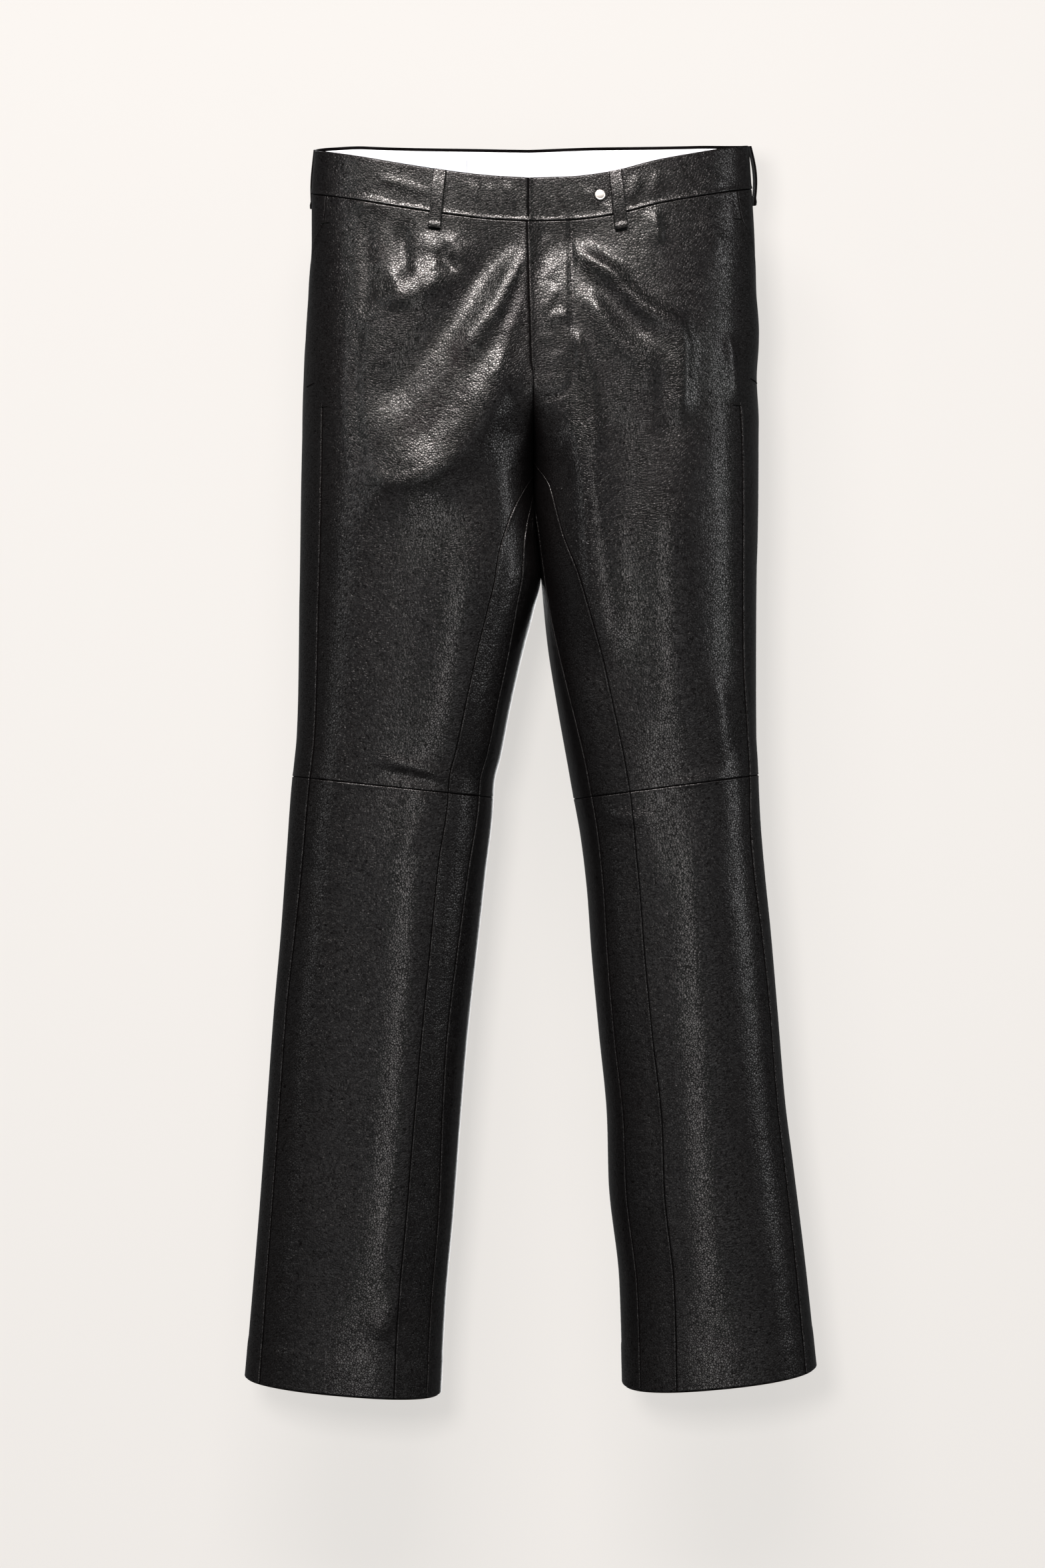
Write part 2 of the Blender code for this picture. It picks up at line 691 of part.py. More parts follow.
def build_leg(leg):
    side = SIDE_NAMES[leg]
    waist = -BAND_HEIGHT
    hem = HEM[leg] - SEAM_GAP / 2
    panel(
        f"front_upper_{side}",
        leg,
        waist,
        KNEE,
        (gusset_seam, dart_seam, side_seam),
        (10, 3),
        DART_TOP,
    )
    panel(f"front_lower_{side}", leg, KNEE, hem, (gusset_seam, dart_seam), (7,))
    panel(f"side_lower_{side}", leg, KNEE, hem, (dart_seam, side_seam), (2,))
    tip = GUSSET_TOP[leg] - TIP_CUT + SEAM_GAP / 2
    panel(f"gusset_upper_{side}", leg, tip, KNEE, (inseam, gusset_seam), (3,))
    panel(f"gusset_lower_{side}", leg, KNEE, hem, (inseam, gusset_seam), (3,))
    panel(f"back_upper_{side}", leg, waist, KNEE, (side_seam, inseam_from_back), (9,))
    panel(f"back_lower_{side}", leg, KNEE, hem, (side_seam, inseam_from_back), (8,))


def build_waist():
    band_foot = SEAM_GAP / 2 - BAND_HEIGHT
    lining = BAND_WALL + SEAM_GAP
    for leg, side in SIDE_NAMES.items():
        strip_round_waist(f"waistband_{side}", leg, 0, 0.0, band_foot, 2, 0.0, BAND_WALL, LEATHER_BLACK)
        strip_round_waist(
            f"waist_facing_{side}", leg, FACING_START[leg], -FACING_DROP, band_foot, 2, lining, FACING_WALL,
            COTTON_WHITE,
        )
    centre_strip(
        "waistband_underlap", FRONT, -UNDERLAP_SEAM, UNDERLAP_LENGTH, -FACING_DROP, band_foot, 9, lining,
        UNDERLAP_WALL, LEATHER_BLACK,
    )
    centre_strip(
        "blank_label", BACK, -LABEL_CENTRE - LABEL_WIDTH / 2, -LABEL_CENTRE + LABEL_WIDTH / 2, -LABEL_DROP,
        -LABEL_DROP - LABEL_HEIGHT, 6, lining + FACING_WALL + SEAM_GAP, LABEL_WALL, LABEL_WHITE,
    )
    for leg, side in SIDE_NAMES.items():
        belt_loop(f"belt_loop_front_{side}", leg, *FRONT_LOOP[leg])
        side_loop(f"belt_loop_side_{side}", leg)
    centre_back_loop("belt_loop_back")
    snap_cap("snap_cap")


for old in list(bpy.data.objects):
    bpy.data.objects.remove(old)
TROUSERS = bpy.data.collections.new("leather_trousers")
bpy.context.scene.collection.children.link(TROUSERS)

for each_leg in (RIGHT, LEFT):
    build_leg(each_leg)
build_waist()
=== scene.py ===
"""Black leather trousers, hollow and filled out as when worn, held up at the waist.

Lengths in the tables are millimetres and the scene is in metres, +Z up. The front faces -Y and +X is the
wearer's left. The origin is the centre of the waist, level with the waistband's top edge at the sides.
"""
import math
from bisect import bisect_left
from functools import cache
from itertools import pairwise

import bmesh
import bpy
from mathutils import Matrix, Vector


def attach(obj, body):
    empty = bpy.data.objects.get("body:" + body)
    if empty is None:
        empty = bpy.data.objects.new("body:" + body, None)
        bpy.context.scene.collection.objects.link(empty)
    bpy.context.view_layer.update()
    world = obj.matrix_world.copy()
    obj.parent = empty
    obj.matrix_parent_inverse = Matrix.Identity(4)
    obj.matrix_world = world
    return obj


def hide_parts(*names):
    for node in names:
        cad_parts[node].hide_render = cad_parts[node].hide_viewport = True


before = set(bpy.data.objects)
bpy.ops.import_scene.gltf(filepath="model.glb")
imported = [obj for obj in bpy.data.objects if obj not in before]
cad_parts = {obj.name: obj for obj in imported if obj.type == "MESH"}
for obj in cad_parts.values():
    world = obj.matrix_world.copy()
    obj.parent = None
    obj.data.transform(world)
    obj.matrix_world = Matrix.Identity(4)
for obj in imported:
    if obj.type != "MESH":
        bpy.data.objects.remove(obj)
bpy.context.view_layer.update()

# ------------------------------------------------------------------------------
# Camera: level with the thighs, square to the front, far enough away that the waist and hems bow only a
# little. Its lens takes in 1367 mm of height at the trousers.
MM = 0.001
CAMERA_AWAY = 3200.0
VIEW_HEIGHT = 1367.4
VIEW_CENTRE = (-7.0, -553.5)

camera_data = bpy.data.cameras.new("camera")
camera_data.sensor_width = 36.0
camera_data.lens = camera_data.sensor_width * CAMERA_AWAY / VIEW_HEIGHT


def add_object(name, data):
    made = bpy.data.objects.new(name, data)
    bpy.context.scene.collection.objects.link(made)
    return made


camera = add_object("camera", camera_data)
camera.location = Vector((VIEW_CENTRE[0], -CAMERA_AWAY, VIEW_CENTRE[1])) * MM
camera.rotation_euler = (math.pi / 2, 0, 0)
bpy.context.scene.camera = camera

# ------------------------------------------------------------------------------
# Studio: a pale paper wall close behind, a floor of the same paper under the hems, and soft boxes. The
# wall is one-sided and lets the light of the rear boxes through, so that the back of the trousers is lit
# and seen as the front is.
PAPER = "#f3f0ec"
PAPER_SHADE = "#5a5958"
PAPER_GLOW = 0.71
ROOM_GLOW = 0.11
WALL_SIZE = 6000.0
WALL_BEHIND = 125.0
FLOOR_SIZE = 9000.0
FLOOR_DROP = 1400.0


def linear(hex_colour):
    """An sRGB hex colour as linear red, green, blue and alpha."""
    parts = [int(hex_colour[i : i + 2], 16) / 255 for i in (1, 3, 5)]
    return tuple(p / 12.92 if p <= 0.04045 else ((p + 0.055) / 1.055) ** 2.4 for p in parts) + (1.0,)


def add_node(tree, kind, settings=None, links=None):
    """A shader node with its properties and sockets set, and its inputs linked to nodes or their sockets."""
    node = tree.nodes.new("ShaderNode" + kind)
    for name, value in (settings or {}).items():
        if isinstance(name, str) and hasattr(node, name):
            setattr(node, name, value)
        else:
            node.inputs[name].default_value = value
    for name, source in (links or {}).items():
        socket = source.outputs[0] if isinstance(source, bpy.types.Node) else source
        tree.links.new(socket, node.inputs[name])
    return node


def empty_material(name):
    made = bpy.data.materials.new(name)
    made.use_nodes = True
    made.node_tree.nodes.clear()
    return made, made.node_tree


# Seamless background paper: matt, off-white and evenly lit, so it gives a flat pale ground with faint
# shadows.
paper, tree = empty_material("seamless_paper")
matt = add_node(tree, "BsdfDiffuse", {"Color": linear(PAPER_SHADE)})
glow = add_node(tree, "Emission", {"Color": linear(PAPER), "Strength": PAPER_GLOW})
lit = add_node(tree, "AddShader", {}, {0: matt, 1: glow})
clear = add_node(tree, "BsdfTransparent")
behind = add_node(tree, "NewGeometry").outputs["Backfacing"]
one_sided = add_node(tree, "MixShader", {}, {0: behind, 1: lit, 2: clear})
add_node(tree, "OutputMaterial", {}, {"Surface": one_sided})


def make_mesh(name, shape):
    """Ends a bmesh and gives its mesh, shaded smooth."""
    mesh = bpy.data.meshes.new(name)
    shape.to_mesh(mesh)
    shape.free()
    mesh.shade_smooth()
    return mesh


# Both sheets of the paper. Neither of them shades the leather or is mirrored in it.
paper_sheets = bpy.data.collections.new("paper_sheets")


def add_paper(name, size, matrix):
    shape = bmesh.new()
    bmesh.ops.create_grid(shape, x_segments=1, y_segments=1, size=size * MM / 2, matrix=matrix)
    mesh = make_mesh(name, shape)
    mesh.materials.append(paper)
    sheet = add_object(name, mesh)
    sheet.visible_shadow = sheet.visible_glossy = sheet.visible_diffuse = False
    paper_sheets.objects.link(sheet)


wall_centre = Vector((0, WALL_BEHIND, WALL_SIZE / 2 - FLOOR_DROP)) * MM
upright = Matrix.Translation(wall_centre) @ Matrix.Rotation(math.pi / 2, 4, "X")
add_paper("paper_wall", WALL_SIZE, upright)
add_paper("paper_floor", FLOOR_SIZE, Matrix.Translation((0, 0, -FLOOR_DROP * MM)))

# Each box's name, place, width and height, watts and colour. All of them point at the middle of the
# trousers.
LIGHTS = (
    ("key_box", (-450, -2300, 2050), (2400, 1000), 225.0, "#fff6f2"),
    ("front_box", (150, -3300, -1050), (760, 1900), 12.0, "#fffaf7"),
    ("right_box", (2600, -1300, 0), (600, 2000), 16.0, "#ffffff"),
    ("left_box", (-2300, -1900, 100), (600, 2000), 5.5, "#ffffff"),
    ("low_box", (0, -3600, -1500), (5000, 2400), 12.0, "#ffffff"),
    ("rear_key_box", (-300, 2400, 1700), (2400, 1000), 80.0, "#ffffff"),
    ("rear_fill_box", (300, 3100, -900), (760, 1900), 16.0, "#ffffff"),
    ("paper_box", (-330, -2600, -250), (400, 400), 105.0, "#fffaf6"),
)
for name, place, (width, height), watts, warmth in LIGHTS:
    lamp = bpy.data.lights.new(name, "AREA")
    lamp.shape = "RECTANGLE"
    lamp.size, lamp.size_y = width * MM, height * MM
    lamp.energy = watts
    lamp.color = linear(warmth)[:3]
    box = add_object(name, lamp)
    box.location = Vector(place) * MM
    towards = Vector((0, 0, VIEW_CENTRE[1])) * MM - box.location
    box.rotation_euler = towards.to_track_quat("-Z", "Y").to_euler()

# The small box, the last one, lights the paper alone, so that the trousers throw a soft shadow down on it.
box.light_linking.receiver_collection = paper_sheets

# The room's own light is dim and even, and the paper beyond the floor looks as pale as the paper does.
world = bpy.data.worlds.new("studio_room")
world.use_nodes = True
tree = world.node_tree
tree.nodes.clear()
seen = add_node(tree, "Background", {"Color": linear(PAPER), "Strength": 1.0})
room = add_node(tree, "Background", {"Color": linear("#ffffff"), "Strength": ROOM_GLOW})
looking = add_node(tree, "LightPath").outputs["Is Camera Ray"]
both = add_node(tree, "MixShader", {}, {0: looking, 1: room, 2: seen})
add_node(tree, "OutputWorld", {}, {"Surface": both})
bpy.context.scene.world = world
bpy.context.scene.view_settings.view_transform = "Standard"

# ------------------------------------------------------------------------------
# Leather fronts: each is cut in one from the waist seam to the knee, with its outer strip parted from it by
# a slit that starts at a tack. Their edges are turned under along the seams. The hide is 1.5 mm thick.

# Every piece lies on one form. At each height it has a section for each half of the body, from the centre
# front round the outer side to the centre back, which closes into a leg below the crotch.
RIGHT, LEFT = -1, 1
SIDE_NAMES = {RIGHT: "right", LEFT: "left"}
FRONT, BACK = "front", "back"
LEATHER = 1.5
HALF_GAP = 0.15
PRESSED = 0.1
BAND_HEIGHT = 38.0
KNEE = -556.0
CROTCH = -298.0
CROTCH_MIDDLE = 5.0
FRONT_CURVE_TOP = -210.0
BACK_CURVE_TOP = -200.0
SLIT_TOP = -225.0
DIP_FULL = -45.0
DIP_END = -170.0
GUSSET_TOP = {RIGHT: -283.0, LEFT: -271.0}
HEM = {RIGHT: -1076.5, LEFT: -1068.0}
HEM_PITCH = {RIGHT: 0.045, LEFT: 0.095}
FOLD_FACING = 1.6
FOLD_CLEAR = 14.0
EDGE_RADIUS = 1.3
LIP = 2.6
FLY_RAISED = 1.3
FLY_LAP = 1.2
FLY_SUNK = 0.9
FLY_FOOT = -206.0
FLY_FADE = 16.0
SLIT_FADE = 6.0
SLIT_RADIUS = 2.0
SLIT_PROUD = 0.9
# Depth under the surface over which the painted seam shade grows.
SEAM_SHADE_DEPTH = 0.9
LEAST_WALL = 0.25
HEM_TURN_UP = 35.0
HEM_DOUBLED = 0.4
HEM_STEP = 5.0
HEM_PEEP = 0.9
RAW_EDGE = -20.0
CLOSE_STEPS = (0.0, 0.2, 0.5, 0.9, 1.4, 2.2, 3.4, 5.0)
WIDE_STEP = 3.8
FRONT_STEP = 2.4

# Depths of the form. crest is where the front and back stand furthest out, as a share of the half's width.
PROFILE_COLUMNS = ("height", "front", "back", "crest", "round_in", "round_out")
PROFILE = (
    (0, -52, 56, 0.10, 2, 2.3),
    (-38, -56, 60, 0.12, 2, 2.3),
    (-80, -61, 67, 0.18, 2, 2.3),
    (-120, -65, 75, 0.24, 2, 2.3),
    (-160, -69, 83, 0.31, 2, 2.3),
    (-200, -72, 88, 0.38, 2.2, 2.3),
    (-245, -74, 89, 0.44, 2.7, 2.3),
    (-298, -75, 82, 0.48, 3.2, 2.3),
    (-345, -74, 74, 0.50, 3.3, 2.3),
    (-430, -69, 64, 0.50, 3, 2.3),
    (-521, -63, 56, 0.50, 2.7, 2.4),
    (-568, -60, 51, 0.50, 2.6, 2.4),
    (-655, -56, 50, 0.50, 2.6, 2.4),
    (-760, -53, 54, 0.50, 2.6, 2.4),
    (-900, -50, 54, 0.50, 2.5, 2.3),
    (-1080, -50, 51, 0.50, 2.4, 2.2),
)

# Where each half starts and ends from side to side. tilt lifts the outer edge of a level above its inner
# edge.
OUTLINE_COLUMNS = ("height", "inner", "outer", "tilt")
OUTLINE = {}
OUTLINE[RIGHT] = (
    (0, -1.5, -188.5, 0),
    (-38, -1.5, -191, 0),
    (-80, -0.5, -191, 0),
    (-120, 0, -193.5, 0),
    (-160, 1, -196.2, 0),
    (-215, 2.2, -198.5, 0),
    (-298, 2.6, -200.2, 0),
    (-340, 5.6, -200.6, 0),
    (-372, 9, -201, 0),
    (-403, 2, -201.5, 0.03),
    (-430, -5.6, -201.7, 0.05),
    (-480, -17.6, -202.3, 0.08),
    (-521, -26, -203.6, 0.105),
    (-544, -31.5, -205.8, 0.105),
    (-568, -32.8, -208.4, 0.105),
    (-620, -38.8, -212.2, 0.105),
    (-690, -46.6, -217.4, 0.105),
    (-760, -54.4, -223.8, 0.105),
    (-830, -60.4, -229, 0.105),
    (-920, -67.2, -235.6, 0.100),
    (-1000, -74.2, -242.2, 0.092),
    (-1080, -78.4, -249.2, 0.085),
)
OUTLINE[LEFT] = (
    (0, -1.5, 190.5, 0),
    (-38, -1.5, 193, 0),
    (-80, -0.5, 195.5, 0),
    (-120, 0, 196.8, 0),
    (-160, 1, 199.6, 0),
    (-200, 2, 197.4, 0),
    (-240, 2.3, 199.2, 0),
    (-298, 2.6, 198.8, 0),
    (-340, 5.6, 198, 0),
    (-372, 9, 197, 0),
    (-430, 15, 196.5, 0.03),
    (-480, 23.6, 196.4, 0.08),
    (-521, 31.6, 196.6, 0.13),
    (-544, 35.6, 197.8, 0.13),
    (-591, 44, 199.9, 0.13),
    (-640, 49.6, 204, 0.12),
    (-690, 53.2, 209.2, 0.12),
    (-760, 59.6, 215.4, 0.118),
    (-840, 67, 222.2, 0.115),
    (-890, 68.2, 228.6, 0.110),
    (-980, 77.6, 239.8, 0.100),
    (-1072, 80.4, 249.6, 0.094),
)

# Seams of each leg, as distances across: gusset and inseam from the inner edge, the side slit from the
# outer edge.
SEAM_COLUMNS = ("height", "gusset", "inseam", "dart")
SEAMS = {}
SEAMS[RIGHT] = (
    (-38, 0, 0, 36),
    (-150, 0, 0, 24),
    (-225, 0, 0, 19.5),
    (-283, 0, 0, 20),
    (-298, 7, 0, 20),
    (-313, 15.5, 3, 20),
    (-330, 24, 8, 19.7),
    (-378, 39.5, 16.5, 19),
    (-450, 39, 12, 18),
    (-556, 38.5, 12.5, 17),
    (-620, 41, 15, 16),
    (-760, 39.5, 17.5, 12.3),
    (-940, 40.5, 12.5, 12.3),
    (-1080, 39.5, 12, 14.5),
)
SEAMS[LEFT] = (
    (-38, 0, 0, 36),
    (-150, 0, 0, 24),
    (-225, 0, 0, 18.5),
    (-271, 0, 0, 16.5),
    (-298, 14, 0, 16),
    (-340, 22.5, 2, 15),
    (-380, 34, 3, 14),
    (-450, 45, 9.5, 13),
    (-540, 47.5, 15, 9),
    (-620, 44, 14, 11),
    (-760, 44.5, 12.5, 8),
    (-880, 46.5, 14, 8.5),
    (-1075, 45.5, 15, 11),
)

# The seam between front and back, in quarters of the section from the centre front: 2 is the outermost
# point.
SIDE_COLUMNS = ("height", "turn")
SIDE_SEAM = (
    (-38, 1.72),
    (-62, 1.74),
    (-80, 1.85),
    (-104, 1.97),
    (-150, 2.03),
    (-201, 1.95),
    (-250, 2.01),
    (-300, 2.04),
    (-1080, 2.04),
)

# The waistline's height above or below its level. round is the share of the way from centre front to centre
# back.
WAIST_COLUMNS = ("round", "right", "left")
WAISTLINE = (
    (0.00, -33, -33),
    (0.08, -31, -32),
    (0.16, -27, -27.8),
    (0.26, -20, -16.6),
    (0.35, -12.5, -8.5),
    (0.43, -6, -1.5),
    (0.50, 0, 3.5),
    (0.57, 6, 7.5),
    (0.65, 9.5, 10),
    (0.84, 9.8, 11),
    (1.00, 9, 9),
)

# Folds of each leg's front and back: rise, half widths at its top and foot, and places along it, across
# then up, in turn. rise above zero is a ridge, below zero a trough. A last value, skew, makes the wearer's
# right flank the wider.
FOLDS = {}
FOLDS[RIGHT, FRONT] = (
    # Under the band: lumps with a gap between.
    (4.4, 17, 17, (-137, -134, -121, -137, -101, -135, -85, -124, -73, -107), -0.4),
    (-3.2, 7, 8, (-112, -64, -109, -94, -109, -127)),
    (-1.4, 6, 6, (-141, -64, -140, -99, -140, -128, -146, -156)),
    (1.6, 8, 9, (-89, -77, -85, -102, -86, -125)),
    (-1.4, 5, 5, (-82, -95, -71, -106, -61, -118)),
    (1.4, 6, 6, (-75, -81, -64, -95, -55, -109)),
    # The wedge from the fly to the thigh, and the pad below it.
    (-6, 12, 22, (-16, -78, -40, -112, -65, -150, -93, -187, -119, -219, -148, -248)),
    (3.2, 7, 12, (4, -79, -7, -102, -18, -124, -26, -143, -38, -160, -50, -177, -66, -198), 0.2),
    (2, 6, 8, (0, -105, -4, -122, -10, -140, -14, -156, -20, -175, -28, -196, -36, -219)),
    (-1.6, 6, 7, (-6, -117, -14, -140, -25, -168)),
    (9.5, 18, 30, (-16, -168, -30, -213, -53, -253, -83, -284, -117, -299, -152, -298)),
    (2, 8, 8, (-143, -276, -127, -294, -104, -296, -78, -285, -53, -264)),
    (-1.2, 6, 6, (-146, -151, -150, -191, -149, -248, -143, -288)),
    (-2, 12, 14, (-8, -202, -13, -236, -12, -276)),
    # Thigh, knee and shin.
    (4, 24, 34, (-48, -316, -55, -356, -61, -407, -64, -465, -66, -516, -69, -556)),
    (1.6, 6, 6, (-137, -533, -112, -536, -83, -543, -61, -551)),
    (1.4, 6, 7, (-118, -572, -98, -567, -75, -571)),
    (-1, 5, 5, (-129, -543, -103, -547, -78, -554)),
    (1.2, 9, 10, (-89, -576, -103, -596, -112, -619)),
    (4, 30, 34, (-99, -561, -103, -624, -107, -710, -112, -795, -119, -881, -127, -967, -134, -1046), 0.2),
    (1.8, 7, 12, (-110, -984, -125, -1018, -142, -1032), 0.2),
    # Ripples in the band, and the hollow under it.
    (1.3, 7, 8, (-160, -51, -140, -55, -112, -62)),
    (0.8, 4, 5, (-135, -32, -112, -38, -83, -48)),
    (1, 3, 3, (-53, -34, -50, -45, -46, -57)),
    (0.8, 3, 3, (-37, -35, -35, -46, -29, -64)),
    (1.1, 3, 3, (-21, -35, -18, -49, -15, -66)),
    (-1.2, 3, 3, (-7, -32, -6, -49, -6, -70)),
    (-3, 26, 26, (-83, -88, -44, -91, -1, -93, 59, -93)),
)
FOLDS[RIGHT, BACK] = (
    # Drag lines from the seat seam, under the seat and over it.
    (1.8, 9, 12, (-28, -330, -56, -372, -92, -430)),
    (-1.6, 8, 10, (-14, -150, -40, -176, -70, -190)),
    (-4.4, 18, 24, (-26, -262, -66, -296, -112, -352, -140, -390), 0.2),
    (-3.4, 13, 18, (-22, -300, -60, -340, -96, -392)),
    (3.2, 17, 26, (-52, -100, -74, -170, -92, -250)),
    (1.2, 10, 12, (-120, -70, -128, -120, -124, -180)),
    # Behind the knee, and the calf.
    (-4, 11, 13, (-158, -536, -110, -544, -56, -554)),
    (2, 9, 10, (-170, -514, -120, -522, -70, -530)),
    (1.6, 8, 9, (-150, -572, -112, -578, -72, -584)),
    (2.6, 26, 30, (-130, -620, -132, -780, -126, -940, -124, -1040)),
    (-2.2, 10, 12, (-176, -860, -150, -900, -110, -924)),
)
FOLDS[LEFT, FRONT] = (
    # The hollow under the band, and ripples in it.
    (-3, 26, 26, (-66, -93, -1, -93, 36, -91, 76, -87)),
    (0.9, 3, 3, (48, -40, 51, -49, 56, -61)),
    (0.8, 3, 3, (64, -54, 67, -61, 72, -66)),
    (1, 5, 5, (95, -29, 89, -40, 85, -57)),
    (1, 5, 6, (111, -25, 107, -39, 107, -54)),
    (0.7, 6, 6, (139, -32, 156, -35, 173, -32)),
    # The edge of the fly and the puckers inside it.
    (-1.5, 2.4, 2.4, (34, -66, 35, -111, 35, -156, 36, -202, 31, -217, 20, -223, 7, -226)),
    (0.5, 4, 3, (8, -102, 12, -89, 24, -82)),
    (0.6, 5, 3, (17, -124, 20, -111, 32, -104)),
    (0.8, 3, 5, (9, -151, 17, -140, 23, -124)),
    (1.3, 4, 5, (16, -163, 23, -153, 32, -161)),
    (0.5, 3, 5, (6, -177, 12, -171, 17, -179)),
    (0.8, 5, 4, (14, -198, 22, -190, 31, -187)),
    (0.6, 4, 4, (7, -215, 15, -211, 20, -203)),
    # The bent ridge on the hip, with what runs beside and below it.
    (4.4, 9, 10, (28, -95, 43, -99, 57, -109, 72, -120, 82, -134, 97, -147, 114, -155, 124, -162, 129, -176,
        129, -194, 127, -219, 124, -253)),
    (3, 9, 11, (40, -124, 47, -135, 57, -148, 66, -167, 80, -180, 95, -192, 101, -209, 105, -228)),
    (-2.4, 12, 12, (48, -117, 76, -143, 98, -168, 116, -179)),
    (-2, 9, 12, (116, -191, 117, -225, 119, -276)),
    (2.4, 5, 7, (31, -161, 41, -179, 47, -198, 51, -219, 55, -248, 59, -276)),
    (5, 12, 22, (35, -219, 44, -259, 50, -305, 55, -356, 60, -413, 66, -459)),
    (4, 20, 34, (122, -248, 120, -305, 119, -368, 121, -436, 125, -504, 128, -556)),
    (-2, 14, 16, (80, -225, 84, -282, 88, -339)),
    # Small folds at the pocket, and the shin.
    (2.4, 6, 6, (105, -57, 109, -74, 111, -95), 0.3),
    (1.4, 6, 8, (142, -68, 156, -79, 168, -95)),
    (2, 5, 6, (169, -162, 174, -191, 178, -228)),
    (1.6, 4, 5, (4, -225, 7, -237, 10, -262)),
    (1.6, 12, 16, (159, -453, 163, -499, 165, -539), 0.3),
    (4, 28, 34, (132, -561, 137, -624, 141, -710, 145, -795, 148, -881, 152, -967, 155, -1041)),
    (1.4, 6, 7, (59, -580, 88, -584, 119, -582)),
    (1.4, 5, 6, (116, -554, 145, -550, 173, -543)),
)
FOLDS[LEFT, BACK] = (
    # The same on the other leg.
    (1.8, 9, 12, (26, -336, 60, -382, 98, -440)),
    (-1.4, 8, 10, (14, -180, 44, -206, 78, -214)),
    (-4, 18, 24, (30, -258, 68, -292, 116, -346, 146, -380), -0.2),
    (-3.4, 13, 18, (24, -304, 66, -350, 100, -404)),
    (3.2, 17, 26, (58, -108, 80, -180, 96, -256)),
    (1.4, 9, 12, (126, -66, 136, -112, 130, -176)),
    # Behind the knee, and the calf.
    (-4, 11, 13, (56, -530, 104, -540, 164, -550)),
    (1.8, 9, 10, (70, -508, 118, -514, 160, -524)),
    (1.8, 8, 9, (76, -566, 120, -574, 158, -572)),
    (2.6, 26, 30, (128, -610, 134, -760, 146, -920, 152, -1030)),
    (-2.2, 9, 12, (96, -840, 134, -884, 180, -902)),
)


class Table:
    """Rows of values keyed by their first column, read between rows along smooth curves without overshoot."""

    def __init__(self, columns, rows):
        ordered = sorted(rows)
        self.keys = [row[0] for row in ordered]
        self.columns = {name: [row[i] for row in ordered] for i, name in enumerate(columns)}
        self.slopes = {name: self.slopes_of(values) for name, values in self.columns.items()}

    def slopes_of(self, values):
        widths = [high - low for low, high in pairwise(self.keys)]
        rates = [(high - low) / width for (low, high), width in zip(pairwise(values), widths)]
        slopes = [rates[0]]
        for i in range(1, len(rates)):
            if rates[i - 1] * rates[i] <= 0:
                slopes.append(0.0)
                continue
            before = (2 * widths[i] + widths[i - 1]) / rates[i - 1]
            after = (widths[i] + 2 * widths[i - 1]) / rates[i]
            slopes.append(3 * (widths[i] + widths[i - 1]) / (before + after))
        return slopes + [rates[-1]]

    def value(self, column, key):
        key = min(max(key, self.keys[0]), self.keys[-1])
        low = min(max(bisect_left(self.keys, key) - 1, 0), len(self.keys) - 2)
        width = self.keys[low + 1] - self.keys[low]
        part = (key - self.keys[low]) / width
        values, slopes = self.columns[column], self.slopes[column]
        return (
            values[low] * (1 + 2 * part) * (1 - part) ** 2
            + values[low + 1] * part**2 * (3 - 2 * part)
            + slopes[low] * width * part * (1 - part) ** 2
            + slopes[low + 1] * width * part**2 * (part - 1)
        )


form_depths = Table(PROFILE_COLUMNS, PROFILE)
leg_outlines = {leg: Table(OUTLINE_COLUMNS, rows) for leg, rows in OUTLINE.items()}
leg_seams = {leg: Table(SEAM_COLUMNS, rows) for leg, rows in SEAMS.items()}
side_turns = Table(SIDE_COLUMNS, SIDE_SEAM)
waist_dips = Table(WAIST_COLUMNS, WAISTLINE)


def smooth_step(share):
    share = min(max(share, 0.0), 1.0)
    return share * share * (3 - 2 * share)


def crotch_share(height, curve_top):
    """How far out the centre seam is: 1 above the crotch curve, falling smoothly to 0 at its foot."""
    return 1 - smooth_step((curve_top - max(height, CROTCH)) / (curve_top - CROTCH))


def between(keys, rows, key):
    """The row at a key, in a straight line between the rows of the keys next to it."""
    low = min(max(bisect_left(keys, key) - 1, 0), len(keys) - 2)
    part = (key - keys[low]) / max(keys[low + 1] - keys[low], 1e-9)
    return [near + (far - near) * part for near, far in zip(rows[low], rows[low + 1])]


